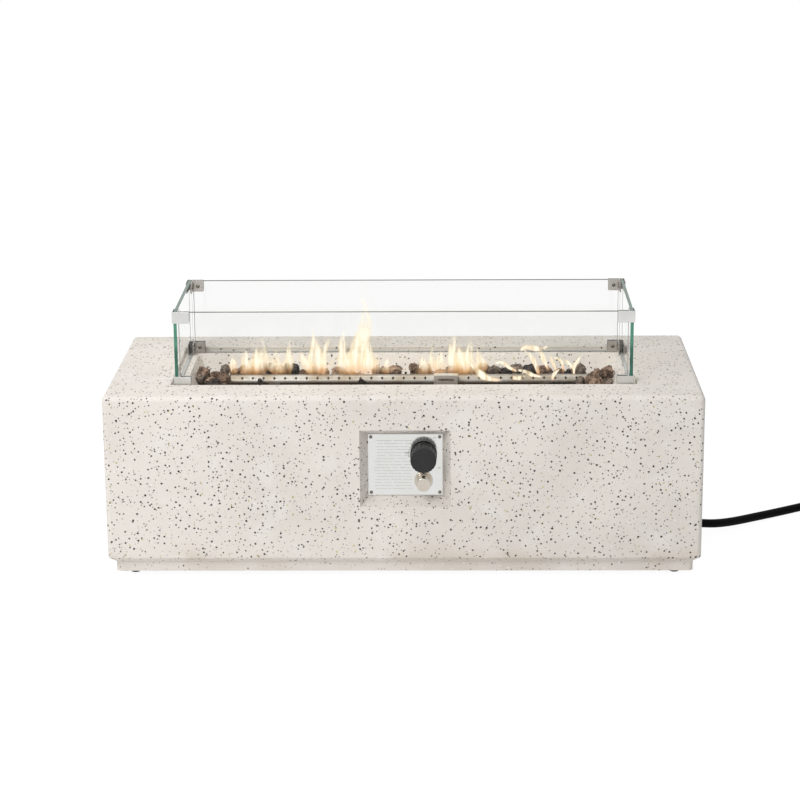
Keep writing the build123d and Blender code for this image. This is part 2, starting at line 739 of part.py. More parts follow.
def burner_pan():
    half_w = FLOOR_W / 2
    half_d = FLOOR_D / 2
    low = PAN_FLOOR_Z - PAN_T
    pan = block(-half_w - PAN_T, half_w + PAN_T, -half_d - PAN_T, half_d + PAN_T, low, BOWL_Z)
    out_w = half_w + PAN_FLANGE
    out_d = half_d + PAN_FLANGE
    pan += block(-out_w, out_w, -out_d, out_d, BOWL_Z - PAN_T, BOWL_Z)
    pan -= block(-half_w, half_w, -half_d, half_d, PAN_FLOOR_Z, BOWL_Z + CUT)
    for x, y in pan_screw_places():
        pan -= rod_z(x, y, SCREW_R + HOLE_GAP, BOWL_Z - PAN_T - CUT, BOWL_Z + CUT)
    holes = [(x, y, SCREW_R + HOLE_GAP) for x, y in bracket_screw_places()]
    holes.append((BURNER_X, 0.0, MIXER_R + HOLE_GAP))
    holes.append((SPARK_X, TIP_Y, CERAMIC_R + HOLE_GAP))
    holes.append((THERMO_X, TIP_Y, THERMO_R + HOLE_GAP))
    for x, y, r in holes:
        pan -= rod_z(x, y, r, low - CUT, PAN_FLOOR_Z + CUT)
    return pan


def pan_screws():
    """The screws that hold the pan to the body and the brackets to the pan."""
    screws = []
    seat = BOWL_Z - PAN_T
    for x, y in pan_screw_places():
        screw = rod_z(x, y, SCREW_R, seat, BOWL_Z + SCREW_L)
        screws.append(screw + rod_z(x, y, SCREW_HEAD_R, seat - SCREW_HEAD_H, seat))
    seat = PAN_FLOOR_Z + BRACKET_T
    for x, y in bracket_screw_places():
        screw = rod_z(x, y, SCREW_R, seat - SCREW_L, seat)
        screws.append(screw + rod_z(x, y, SCREW_HEAD_R, seat, seat + SCREW_HEAD_H))
    return screws


# Burner
def burner_tube():
    tube = rod_x(0.0, BURNER_Z, BURNER_R, BURNER_LEFT, BURNER_RIGHT)
    tube -= rod_x(0.0, BURNER_Z, BURNER_R - BURNER_T, BURNER_LEFT - CUT, BURNER_RIGHT + CUT)
    ports = int((BURNER_L - 2 * CAP_PLUG_L - PORT_PITCH) // PORT_PITCH) + 1
    first = BURNER_X - (ports - 1) * PORT_PITCH / 2
    for i in range(ports):
        x = first + i * PORT_PITCH
        tube -= rod_y(x, BURNER_Z + PORT_RISE, PORT_R, -BURNER_R - CUT, BURNER_R + CUT)
    return tube - rod_z(BURNER_X, 0.0, MIXER_R + HOLE_GAP, BURNER_Z - BURNER_R - CUT, BURNER_Z)


def burner_caps():
    plug_r = BURNER_R - BURNER_T - RUN_GAP
    left = rod_x(0.0, BURNER_Z, BURNER_R, BURNER_LEFT - CAP_T, BURNER_LEFT)
    left += rod_x(0.0, BURNER_Z, plug_r, BURNER_LEFT - CAP_T, BURNER_LEFT + CAP_PLUG_L)
    right = rod_x(0.0, BURNER_Z, BURNER_R, BURNER_RIGHT, BURNER_RIGHT + CAP_T)
    right += rod_x(0.0, BURNER_Z, plug_r, BURNER_RIGHT - CAP_PLUG_L, BURNER_RIGHT + CAP_T)
    return [left, right]


def burner_bracket(x):
    """A cradle under the burner tube on a foot that is screwed to the pan."""
    x0 = x - BRACKET_W / 2
    x1 = x + BRACKET_W / 2
    inner = BURNER_R + RUN_GAP
    outer = inner + BRACKET_T
    cradle = rod_x(0.0, BURNER_Z, outer, x0, x1) - rod_x(0.0, BURNER_Z, inner, x0 - CUT, x1 + CUT)
    cradle -= block(x0 - CUT, x1 + CUT, -2 * outer, 2 * outer, BURNER_Z, BURNER_Z + 2 * outer)
    half = BRACKET_FOOT / 2
    foot_plate = block(x0, x1, -half, half, PAN_FLOOR_Z, PAN_FLOOR_Z + BRACKET_T)
    web = block(x0, x1, -BRACKET_T / 2, BRACKET_T / 2, PAN_FLOOR_Z, BURNER_Z - inner - BRACKET_T / 2)
    bracket = cradle + foot_plate + web
    for sx, sy in bracket_screw_places():
        bracket -= rod_z(sx, sy, SCREW_R + HOLE_GAP, PAN_FLOOR_Z - CUT, PAN_FLOOR_Z + BRACKET_T + CUT)
    return bracket


# Mixer, orifice and gas line
def mixer_tube():
    """The pipe that leads gas and air from the shutter up into the burner."""
    top = BURNER_Z - BURNER_R + BURNER_T
    points = [(BURNER_X, 0.0, top), (BURNER_X, 0.0, KNOB_Z), (BURNER_X, -MIXER_REACH, KNOB_Z)]
    outside, _ = tube_along(points, MIXER_R, MIXER_BEND_R)
    inside, _ = tube_along(points, MIXER_R - MIXER_T, MIXER_BEND_R)
    return outside - inside


def air_shutter():
    """The slotted sleeve that lets air in around the orifice."""
    back = SHUTTER_FRONT_Y + SHUTTER_L
    sleeve = rod_y(BURNER_X, KNOB_Z, SHUTTER_R, SHUTTER_FRONT_Y, back)
    sleeve -= rod_y(
        BURNER_X, KNOB_Z, SHUTTER_R - SHUTTER_T, SHUTTER_FRONT_Y + SHUTTER_T, back - SHUTTER_T
    )
    wall_end = SHUTTER_FRONT_Y + 2 * SHUTTER_T
    sleeve -= rod_y(BURNER_X, KNOB_Z, ORIFICE_R + RUN_GAP, SHUTTER_FRONT_Y - CUT, wall_end)
    sleeve -= rod_y(BURNER_X, KNOB_Z, MIXER_R + RUN_GAP, back - 2 * SHUTTER_T, back + CUT)
    reach = SHUTTER_R + CUT
    slot_low = KNOB_Z - MIXER_R / 2
    slot_high = KNOB_Z + MIXER_R / 2
    return sleeve - block(
        BURNER_X - reach, BURNER_X + reach, wall_end, back - SHUTTER_LAP, slot_low, slot_high
    )


def gas_orifice():
    jet = hex_y(BURNER_X, KNOB_Z, ORIFICE_HEX, ORIFICE_Y, SHUTTER_FRONT_Y)
    end = SHUTTER_FRONT_Y + ORIFICE_NOSE_L
    jet += rod_y(BURNER_X, KNOB_Z, ORIFICE_R, SHUTTER_FRONT_Y - CUT, end)
    return jet - rod_y(BURNER_X, KNOB_Z, ORIFICE_BORE_R, ORIFICE_Y - CUT, end + CUT)


def gas_line():
    points = [
        (KNOB_X, OUTLET_Y, KNOB_Z),
        (KNOB_X, OUTLET_Y + LINE_LEAD, KNOB_Z),
        (BURNER_X, ORIFICE_Y - LINE_LEAD, KNOB_Z),
        (BURNER_X, ORIFICE_Y, KNOB_Z),
    ]
    line, _ = tube_along(points, LINE_R, LINE_BEND_R)
    return line


def line_nuts():
    nuts = []
    for x, y0 in ((KNOB_X, OUTLET_Y), (BURNER_X, ORIFICE_Y - LINE_NUT_L)):
        nut = hex_y(x, KNOB_Z, LINE_NUT_HEX, y0, y0 + LINE_NUT_L)
        nuts.append(nut - rod_y(x, KNOB_Z, LINE_R + RUN_GAP, y0 - CUT, y0 + LINE_NUT_L + CUT))
    return nuts


# Flame shield, electrode and thermocouple
def flame_shield():
    """A folded steel guard in front of the burner, over the electrode and the thermocouple."""
    x0 = SHIELD_X - SHIELD_W / 2
    x1 = SHIELD_X + SHIELD_W / 2
    top = TOP_Z - SHIELD_TOP_DROP
    face = -SHIELD_OUT
    shield = block(x0, x1, face, face + SHIELD_T, PAN_FLOOR_Z, top)
    shield += block(x0, x1, face, face + SHIELD_HOOD, top - SHIELD_T, top)
    shield += block(x0, x1, face - SHIELD_FOOT, face + SHIELD_T, PAN_FLOOR_Z, PAN_FLOOR_Z + SHIELD_T)
    slot_top = top - SHIELD_SLOT_DROP
    slot_low = slot_top - SHIELD_SLOT_H
    half = SHIELD_SLOT_W / 2
    return shield - block(
        SHIELD_X - half, SHIELD_X + half, face - CUT, face + SHIELD_T + CUT, slot_low, slot_top
    )


def spark_electrode():
    """The ceramic insulator, with the collar that seats it on the pan."""
    stem = rod_z(SPARK_X, TIP_Y, CERAMIC_R, STEM_FOOT_Z, TIP_Z - ROD_L)
    return stem + rod_z(SPARK_X, TIP_Y, CERAMIC_R + COLLAR_EXTRA, PAN_FLOOR_Z, PAN_FLOOR_Z + COLLAR_H)


def electrode_rod():
    return rod_z(SPARK_X, TIP_Y, ROD_R, TIP_Z - ROD_L, TIP_Z)


def thermocouple():
    stem = rod_z(THERMO_X, TIP_Y, THERMO_R, STEM_FOOT_Z, TIP_Z)
    return stem + rod_z(THERMO_X, TIP_Y, THERMO_R + COLLAR_EXTRA, PAN_FLOOR_Z, PAN_FLOOR_Z + COLLAR_H)


def thermocouple_lead():
    bend = 4 * CAPILLARY_R
    level = THERMO_PORT_Z - bend - CUT
    points = [
        (KNOB_X, VALVE_PORT_Y, THERMO_PORT_Z),
        (KNOB_X, VALVE_PORT_Y, level),
        (THERMO_X, TIP_Y, level),
        (THERMO_X, TIP_Y, STEM_FOOT_Z),
    ]
    lead, _ = tube_along(points, CAPILLARY_R, bend)
    return lead


def ignition_lead():
    bend = 5 * LEAD_R
    points = [
        (KNOB_X, TERMINAL_END_Y, IGNITER_Z),
        (KNOB_X, TERMINAL_END_Y + 3 * bend, IGNITER_Z),
        (SPARK_X, TIP_Y, STEM_FOOT_Z - 4 * bend),
        (SPARK_X, TIP_Y, STEM_FOOT_Z),
    ]
    lead, _ = tube_along(points, LEAD_R, bend)
    return lead


# Lava rocks
def channel_box():
    """The clear strip along the burner, as X and Y limits."""
    reach = max(BURNER_R, BRACKET_FOOT / 2) + CHANNEL_GAP / 2
    x0 = BURNER_LEFT - CAP_T - CHANNEL_GAP
    x1 = BURNER_RIGHT + CAP_T + CHANNEL_GAP
    return x0, x1, -reach, reach


def shield_box():
    """The pocket around the flame shield, as X and Y limits."""
    half = SHIELD_W / 2 + CHANNEL_GAP / 2
    front = -SHIELD_OUT - SHIELD_FOOT - CHANNEL_GAP / 2
    return SHIELD_X - half, SHIELD_X + half, front, 0.0


def rock_bed():
    """The lower layer of the rock fill, one solid around the burner and the shield."""
    half_w = FLOOR_W / 2 - BED_GAP
    half_d = FLOOR_D / 2 - BED_GAP
    bed = block(-half_w, half_w, -half_d, half_d, PAN_FLOOR_Z, BED_Z)
    for x0, x1, y0, y1 in (channel_box(), shield_box()):
        bed -= block(x0, x1, y0, y1, PAN_FLOOR_Z - CUT, BED_Z + CUT)
    return bed


def rock(rng, x, y, r, h):
    """One rough convex rock with a flat underside, on top of the bed."""
    points = []
    for count, reach, level in ROCK_RINGS:
        turn = rng.uniform(0.0, 360.0)
        for i in range(count):
            angle = math.radians(turn + 360.0 * i / count + rng.uniform(-ROCK_TURN_DEG, ROCK_TURN_DEG))
            radius = r * reach * rng.uniform(ROCK_ROUGH, 1.0)
            dip = rng.uniform(0.0, ROCK_DIP) if level > 0 else 0.0
            z = BED_Z + h * (level - dip)
            points.append((x + radius * math.cos(angle), y + radius * math.sin(angle), z))
    return ConvexPolyhedron(points)


def rock_row(rng, x0, x1, y, r, h):
    """A row of rocks of uneven size along X."""
    count = max(1, int((x1 - x0) // ROCK_PITCH))
    step = (x1 - x0) / count
    rocks = []
    for i in range(count):
        x = x0 + (i + 0.5) * step
        size = r * rng.uniform(ROCK_SMALLEST, 1.0)
        height = h * rng.uniform(ROCK_SMALLEST, 1.0)
        if clear_of_shield(x, y, size):
            rocks.append(rock(rng, x, y, size, height))
    return rocks


def clear_of_shield(x, y, r):
    """Whether a rock of that reach stays out of the shield's pocket."""
    x0, x1, y0, y1 = shield_box()
    return x + r < x0 or x - r > x1 or y + r < y0 or y - r > y1


def end_rocks(rng, x, r):
    """A row of large rocks along Y, beyond one end of the burner."""
    edge_y = FLOOR_D / 2 - BED_GAP
    count = int(2 * edge_y // (2 * r + END_GAP))
    step = 2 * edge_y / count
    rocks = []
    for i in range(count):
        height = END_ROCK_H * rng.uniform(ROCK_SMALLEST, 1.0)
        rocks.append(rock(rng, x, -edge_y + (i + 0.5) * step, r, height))
    return rocks


def lava_rocks():
    rng = random.Random(ROCK_SEED)
    x0, x1, y0, y1 = channel_box()
    edge_x = FLOOR_W / 2 - BED_GAP
    edge_y = FLOOR_D / 2 - BED_GAP
    step = (edge_y - y1) / 2
    r = min(ROCK_R, step - END_GAP)
    rocks = []
    for row in range(2):
        rocks += rock_row(rng, x0, x1, y1 + (row + 0.5) * step, r, ROCK_H)
        rocks += rock_row(rng, x0, x1, y0 - (row + 0.5) * step, r, FRONT_ROCK_H)
    rocks += end_rocks(rng, (x0 - edge_x) / 2, min(END_ROCK_R, (x0 + edge_x) / 2))
    rocks += end_rocks(rng, (x1 + edge_x) / 2, min(END_ROCK_R, (edge_x - x1) / 2 + CHANNEL_GAP))
    return rocks


# Control plate
def control_plate():
    plate = block(
        PANEL_X - PLATE_W / 2,
        PANEL_X + PLATE_W / 2,
        PLATE_FRONT_Y,
        PLATE_BACK_Y,
        PANEL_Z - PLATE_H / 2,
        PANEL_Z + PLATE_H / 2,
    )
    plate = fillet(plate.edges().filter_by(Axis.Y), PLATE_R)
    holes = [(x, z, PLATE_SCREW_R + HOLE_GAP) for x, z in plate_screw_places()]
    holes.append((KNOB_X, KNOB_Z, BUSH_R + HOLE_GAP))
    holes.append((KNOB_X, IGNITER_Z, BARREL_R + HOLE_GAP))
    for x, z, r in holes:
        plate -= rod_y(x, z, r, PLATE_FRONT_Y - CUT, PLATE_BACK_Y + CUT)
    return plate


def plate_screws():
    screws = []
    for x, z in plate_screw_places():
        head = dome_head_y(x, z, PLATE_HEAD_R, PLATE_HEAD_H, PLATE_FRONT_Y, -1)
        screws.append(head + rod_y(x, z, PLATE_SCREW_R, PLATE_FRONT_Y, PLATE_BACK_Y + PLATE_SCREW_L))
    return screws


# Gas valve
def valve_body():
    body = rod_y(KNOB_X, KNOB_Z, VALVE_R, PLATE_BACK_Y, VALVE_BACK_Y)
    body += rod_y(KNOB_X, KNOB_Z, BUSH_R, BUSH_FRONT_Y, PLATE_BACK_Y + CUT)
    body += rod_x(VALVE_PORT_Y, KNOB_Z, BOSS_R, KNOB_X, KNOB_X + VALVE_R + BOSS_OUT)
    body += rod_z(KNOB_X, VALVE_PORT_Y, THERMO_BOSS_R, THERMO_PORT_Z, KNOB_Z)
    body -= rod_y(KNOB_X, KNOB_Z, PLUG_R + RUN_GAP, PLUG_FRONT_Y - END_GAP, VALVE_BACK_Y + CUT)
    body -= rod_y(KNOB_X, KNOB_Z, STEM_R + RUN_GAP, BUSH_FRONT_Y - CUT, PLUG_FRONT_Y)
    return body - rod_x(VALVE_PORT_Y, KNOB_Z, PLUG_PORT_R, KNOB_X, KNOB_X + VALVE_R + BOSS_OUT + CUT)


def valve_nut():
    back = PLATE_FRONT_Y
    nut = hex_y(KNOB_X, KNOB_Z, VALVE_NUT_HEX, back - VALVE_NUT_T, back)
    return nut - rod_y(KNOB_X, KNOB_Z, BUSH_R + RUN_GAP, back - VALVE_NUT_T - CUT, back + CUT)


def valve_plug():
    """The rotor that opens and closes the gas way, with the stem's socket in its front."""
    plug = rod_y(KNOB_X, KNOB_Z, PLUG_R, PLUG_FRONT_Y, VALVE_BACK_Y - END_GAP)
    deep = PLUG_FRONT_Y + STEM_IN + KNOB_TRAVEL + END_GAP
    plug -= flatted_rod_y(KNOB_X, KNOB_Z, STEM_R + RUN_GAP, STEM_FLAT + RUN_GAP, PLUG_FRONT_Y - CUT, deep)
    return plug - rod_x(deep + PLUG_PORT_R + CUT, KNOB_Z, PLUG_PORT_R, KNOB_X, KNOB_X + PLUG_R + CUT)


def valve_stem():
    front = KNOB_FLOOR_Y - KNOB_SOCKET
    return flatted_rod_y(KNOB_X, KNOB_Z, STEM_R, STEM_FLAT, front, PLUG_FRONT_Y + STEM_IN)


def valve_outlet():
    flange_end = VALVE_BACK_Y + OUTLET_FLANGE_T
    outlet = rod_y(KNOB_X, KNOB_Z, OUTLET_FLANGE_R, VALVE_BACK_Y, flange_end)
    outlet += rod_y(KNOB_X, KNOB_Z, OUTLET_R, flange_end - CUT, OUTLET_Y)
    return outlet - rod_y(KNOB_X, KNOB_Z, PLUG_PORT_R, VALVE_BACK_Y - CUT, OUTLET_Y + CUT)


def hose_fitting():
    start = KNOB_X + VALVE_R + BOSS_OUT
    nut = hex_x(VALVE_PORT_Y, KNOB_Z, FITTING_HEX, start, start + FITTING_HEX_L)
    return nut + rod_x(VALVE_PORT_Y, KNOB_Z, FITTING_R, start + FITTING_HEX_L - CUT, FITTING_END_X)


def control_knob():
    grip_r = KNOB_R - KNOB_GRIP_STEP
    grip_back = KNOB_BACK_Y - KNOB_SKIRT_H
    grip = rod_y(KNOB_X, KNOB_Z, grip_r, KNOB_FACE_Y, KNOB_BACK_Y)
    grip = fillet(edges_at(grip, "Y", KNOB_FACE_Y), KNOB_EDGE)
    for i in range(KNOB_FLUTES):
        angle = 2 * math.pi * (i + 0.5) / KNOB_FLUTES
        x = KNOB_X + (grip_r + KNOB_FLUTE_R / 3) * math.cos(angle)
        z = KNOB_Z + (grip_r + KNOB_FLUTE_R / 3) * math.sin(angle)
        grip -= rod_y(x, z, KNOB_FLUTE_R, KNOB_FACE_Y - CUT, grip_back)
    knob = grip + rod_y(KNOB_X, KNOB_Z, KNOB_R, grip_back, KNOB_BACK_Y)
    knob -= rod_y(KNOB_X, KNOB_Z, KNOB_CAVITY_R, KNOB_FLOOR_Y, KNOB_BACK_Y + CUT)
    knob -= flatted_rod_y(
        KNOB_X, KNOB_Z, STEM_R + RUN_GAP, STEM_FLAT + RUN_GAP, KNOB_FLOOR_Y - KNOB_SOCKET, KNOB_FLOOR_Y + CUT
    )
    mark_x = KNOB_X - grip_r - CUT
    return knob - block(
        mark_x,
        mark_x + KNOB_MARK_L + CUT,
        KNOB_FACE_Y - CUT,
        KNOB_FACE_Y + KNOB_MARK_DEEP,
        KNOB_Z - KNOB_MARK_W / 2,
        KNOB_Z + KNOB_MARK_W / 2,
    )


def knob_spring():
    mean_r = STEM_R + HOLE_GAP + 2 * SPRING_WIRE_R
    return coil_spring_y(KNOB_X, KNOB_Z, mean_r, KNOB_FLOOR_Y, BUSH_FRONT_Y, SPRING_TURNS)


# Igniter
def igniter_bezel():
    """The chrome bezel and the barrel behind it, in one piece."""
    collar_front = PLATE_FRONT_Y - BEZEL_COLLAR_H
    bezel = rod_y(KNOB_X, IGNITER_Z, BEZEL_COLLAR_R, collar_front, PLATE_FRONT_Y)
    bezel = fillet(edges_at(bezel, "Y", collar_front), BUTTON_EDGE)
    flange_front = PLATE_FRONT_Y - BEZEL_T
    flange = rod_y(KNOB_X, IGNITER_Z, BEZEL_R, flange_front, PLATE_FRONT_Y)
    bezel += fillet(edges_at(flange, "Y", flange_front), BUTTON_EDGE)
    bezel += rod_y(KNOB_X, IGNITER_Z, BARREL_R, PLATE_FRONT_Y - CUT, BARREL_END_Y)
    bezel -= rod_y(KNOB_X, IGNITER_Z, BUTTON_R + RUN_GAP, collar_front - CUT, BUTTON_SEAT_Y)
    bezel -= rod_y(KNOB_X, IGNITER_Z, BUTTON_STEM_R + RUN_GAP, BUTTON_SEAT_Y - CUT, SPARK_FRONT_Y + CUT)
    seat_front = SPARK_FRONT_Y - END_GAP
    return bezel - rod_y(KNOB_X, IGNITER_Z, SPARK_UNIT_R + RUN_GAP, seat_front, BARREL_END_Y + CUT)


def igniter_button():
    cap = rod_y(KNOB_X, IGNITER_Z, BUTTON_R, BUTTON_FACE_Y, BUTTON_BACK_Y)
    cap = fillet(edges_at(cap, "Y", BUTTON_FACE_Y), BUTTON_EDGE)
    cap -= rod_y(KNOB_X, IGNITER_Z, BUTTON_HOLLOW_R, BUTTON_ROOF_Y, BUTTON_BACK_Y + CUT)
    cap -= ring_y(
        KNOB_X,
        IGNITER_Z,
        BUTTON_RING_R + BUTTON_RING_W / 2,
        BUTTON_RING_R - BUTTON_RING_W / 2,
        BUTTON_FACE_Y - CUT,
        BUTTON_FACE_Y + BUTTON_RING_DEEP,
    )
    stem_end = SPARK_FRONT_Y - BUTTON_TRAVEL - 2 * END_GAP
    return cap + rod_y(KNOB_X, IGNITER_Z, BUTTON_STEM_R, BUTTON_ROOF_Y - CUT, stem_end)


def igniter_spring():
    mean_r = BUTTON_STEM_R + HOLE_GAP + 3 * SPRING_WIRE_R
    return coil_spring_y(KNOB_X, IGNITER_Z, mean_r, BUTTON_ROOF_Y, BUTTON_SEAT_Y, 2 * SPRING_TURNS)


def igniter_nut():
    end = PLATE_BACK_Y + IGNITER_NUT_T
    nut = hex_y(KNOB_X, IGNITER_Z, IGNITER_NUT_HEX, PLATE_BACK_Y, end)
    return nut - rod_y(KNOB_X, IGNITER_Z, BARREL_R + RUN_GAP, PLATE_BACK_Y - CUT, end + CUT)


def spark_unit():
    unit = rod_y(KNOB_X, IGNITER_Z, SPARK_UNIT_R, SPARK_FRONT_Y, BARREL_END_Y + CUT)
    unit += rod_y(KNOB_X, IGNITER_Z, BARREL_R, BARREL_END_Y, BARREL_END_Y + SPARK_FLANGE_T)
    return unit + rod_y(KNOB_X, IGNITER_Z, TERMINAL_R, BARREL_END_Y, TERMINAL_END_Y)


# Hose and regulator
def hose_grommet():
    x1 = PLINTH_W / 2
    x0 = x1 - WALL_T
    t = GROMMET_FLANGE_T
    bush = rod_x(HOSE_EXIT_Y, HOSE_EXIT_Z, GROMMET_R - RUN_GAP, x0, x1)
    bush += rod_x(HOSE_EXIT_Y, HOSE_EXIT_Z, GROMMET_FLANGE_R, x0 - t, x0)
    bush += rod_x(HOSE_EXIT_Y, HOSE_EXIT_Z, GROMMET_FLANGE_R, x1, x1 + t)
    return bush - rod_x(HOSE_EXIT_Y, HOSE_EXIT_Z, HOSE_R + RUN_GAP, x0 - t - CUT, x1 + t + CUT)


def hose_coil():
    ring = rod_z(COIL_X, COIL_Y, COIL_OUT_R, TIE_T, TIE_T + 4 * HOSE_R)
    ring -= rod_z(COIL_X, COIL_Y, COIL_IN_R, TIE_T - CUT, TIE_T + 4 * HOSE_R + CUT)
    return fillet(ring.edges().filter_by(GeomType.CIRCLE), COIL_EDGE_R)


def hose_tie():
    """The strap that holds the coil's turns together."""
    low = COIL_IN_R - TIE_AIR
    high = COIL_OUT_R + TIE_AIR
    top = TIE_T + 4 * HOSE_R + TIE_AIR
    strap = block(low - TIE_T, high + TIE_T, -TIE_W / 2, TIE_W / 2, 0.0, top + TIE_T)
    strap -= block(low, high, -TIE_W, TIE_W, TIE_T, top)
    return Pos(COIL_X, COIL_Y, 0.0) * Rot(0, 0, TIE_DEG) * strap


def hose_tail():
    return rod_y(TAIL_X, TAIL_Z, HOSE_R, FERRULE_Y, COIL_Y)


def hose_ferrule():
    sleeve = rod_y(TAIL_X, TAIL_Z, FERRULE_R, FERRULE_Y - FERRULE_L, FERRULE_Y)
    return chamfer(sleeve.edges().filter_by(GeomType.CIRCLE), CUT)


def regulator_body():
    body = rod_z(TAIL_X, REG_Y, REG_R, 0.0, REG_BODY_H)
    body = fillet(edges_at(body, "Z", 0.0), FOOT_EDGE_R)
    return body + rod_y(TAIL_X, TAIL_Z, REG_BOSS_R, INLET_Y, FERRULE_Y - FERRULE_L)


def regulator_cover():
    top = REG_BODY_H + REG_COVER_H
    cover = rod_z(TAIL_X, REG_Y, REG_COVER_R, REG_BODY_H, top)
    cover = fillet(edges_at(cover, "Z", top), REG_COVER_EDGE)
    return cover + rod_z(TAIL_X, REG_Y, REG_VENT_R, top - CUT, top + REG_VENT_H)


def regulator_nipple():
    end = INLET_Y - NIPPLE_L
    collar_y = HANDNUT_BACK_Y - HANDNUT_WALL - END_GAP
    nipple = rod_y(TAIL_X, TAIL_Z, NIPPLE_R, end, INLET_Y)
    nipple = chamfer(edges_at(nipple, "Y", end), CUT)
    return nipple + rod_y(TAIL_X, TAIL_Z, NIPPLE_COLLAR_R, collar_y - NIPPLE_COLLAR_T, collar_y)


def coupling_nut():
    """The scalloped hand nut that screws onto the gas bottle's valve."""
    front = HANDNUT_BACK_Y - HANDNUT_L
    nut = rod_y(TAIL_X, TAIL_Z, HANDNUT_R, front, HANDNUT_BACK_Y)
    for i in range(HANDNUT_LOBES):
        angle = 2 * math.pi * i / HANDNUT_LOBES
        reach = HANDNUT_R + HANDNUT_SCALLOP_R / 2
        scallop_x = TAIL_X + reach * math.cos(angle)
        scallop_z = TAIL_Z + reach * math.sin(angle)
        nut -= rod_y(scallop_x, scallop_z, HANDNUT_SCALLOP_R, front - CUT, HANDNUT_BACK_Y + CUT)
    nut -= rod_y(TAIL_X, TAIL_Z, HANDNUT_CAVITY_R, front - CUT, HANDNUT_BACK_Y - HANDNUT_WALL)
    return nut - rod_y(TAIL_X, TAIL_Z, NIPPLE_R + RUN_GAP, front - CUT, HANDNUT_BACK_Y + CUT)


def save_body():
    save("concrete_body", concrete_body())
    save("foot_inserts", *[foot_insert(x, y) for _, x, y in foot_places()])
    for name, x, y in foot_places():
        save("foot_" + name, foot(x, y))


def save_guard():
    for name, pane in glass_panels().items():
        save(name, pane)
    screws = []
    pads = []
    for name, z0 in clip_levels().items():
        save(name, *[corner_clip(sx, sy, z0) for sx, sy in guard_corners()])
        for sx, sy in guard_corners():
            screws += clip_screws(sx, sy, z0)
            pads += clip_pads(sx, sy, z0)
    save("clip_screws", *screws)
    save("clip_pads", *pads)
    save("guard_feet", *[guard_foot(sx, sy) for sx, sy in guard_corners()])


def save_burner():
    save("burner_pan", burner_pan())
    save("pan_screws", *pan_screws())
    save("burner_tube", burner_tube())
    save("burner_end_caps", *burner_caps())
    save("burner_brackets", *[burner_bracket(x) for x in bracket_places()])
    save("mixer_tube", mixer_tube())
    save("air_shutter", air_shutter())
    save("gas_orifice", gas_orifice())
    save("gas_line", gas_line())
    save("line_nuts", *line_nuts())
    save("flame_shield", flame_shield())
    save("spark_electrode", spark_electrode())
    save("electrode_rod", electrode_rod())
    save("thermocouple", thermocouple())
    save("thermocouple_lead", thermocouple_lead())
    save("ignition_lead", ignition_lead())
    save("rock_bed", rock_bed())
    save("lava_rocks", *lava_rocks())


def save_controls():
    save("control_plate", control_plate())
    save("plate_screws", *plate_screws())
    save("valve_body", valve_body())
    save("valve_nut", valve_nut())
    save("valve_plug", valve_plug())
    save("valve_stem", valve_stem())
    save("valve_outlet", valve_outlet())
    save("hose_fitting", hose_fitting())
    save("control_knob", control_knob())
    save("knob_spring", knob_spring())
    save("igniter_bezel", igniter_bezel())
    save("igniter_button", igniter_button())
    save("igniter_spring", igniter_spring())
    save("igniter_nut", igniter_nut())
    save("spark_unit", spark_unit())


def save_hose():
    save("hose_grommet", hose_grommet())
    save("inner_hose", cord_tube("inner_hose", INNER_ROUTE, HOSE_R))
    save("outer_hose", cord_tube("outer_hose", OUTER_ROUTE, HOSE_R))
    save("hose_coil", hose_coil())
    save("hose_tie", hose_tie())
    save("hose_tail", hose_tail())
    save("hose_ferrule", hose_ferrule())
    save("regulator_body", regulator_body())
    save("regulator_cover", regulator_cover())
    save("regulator_nipple", regulator_nipple())
    save("coupling_nut", coupling_nut())


os.makedirs("parts", exist_ok=True)
save_body()
save_guard()
save_burner()
save_controls()
save_hose()
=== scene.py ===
import json
import math
import random

import bmesh
import bpy
from mathutils import Matrix, Vector, noise


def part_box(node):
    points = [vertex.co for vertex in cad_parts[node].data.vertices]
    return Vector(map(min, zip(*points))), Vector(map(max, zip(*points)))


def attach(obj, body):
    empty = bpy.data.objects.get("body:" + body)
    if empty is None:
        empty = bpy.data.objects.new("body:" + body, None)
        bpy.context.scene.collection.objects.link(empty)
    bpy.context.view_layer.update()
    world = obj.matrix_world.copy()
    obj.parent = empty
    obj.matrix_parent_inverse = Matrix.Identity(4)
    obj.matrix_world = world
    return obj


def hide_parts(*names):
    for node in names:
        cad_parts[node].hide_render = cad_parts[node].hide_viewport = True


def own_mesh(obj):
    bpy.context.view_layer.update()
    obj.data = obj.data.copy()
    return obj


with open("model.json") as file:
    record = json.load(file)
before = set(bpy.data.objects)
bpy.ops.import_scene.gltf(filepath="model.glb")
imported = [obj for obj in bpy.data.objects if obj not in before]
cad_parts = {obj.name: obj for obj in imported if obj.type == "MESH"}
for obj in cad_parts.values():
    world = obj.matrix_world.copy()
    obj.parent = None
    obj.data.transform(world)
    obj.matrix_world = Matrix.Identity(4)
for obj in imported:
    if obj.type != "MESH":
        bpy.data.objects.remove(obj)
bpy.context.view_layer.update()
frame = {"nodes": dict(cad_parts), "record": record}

# Propane fire pit in metres: +Z up, front towards -Y, origin on the floor under its middle.

MM = 0.001
BODY = "fire_pit"
GUARD = "glass_guard"

# Camera at the photograph's viewing angle
CAMERA_AT = (0.0774, -4.1871, 1.4391)
CAMERA_PITCH_DEG = 15.577
CAMERA_YAW_DEG = -1.188
CAMERA_ROLL_DEG = 0.443
LENS_MM = 104.99
SENSOR_MM = 36.0

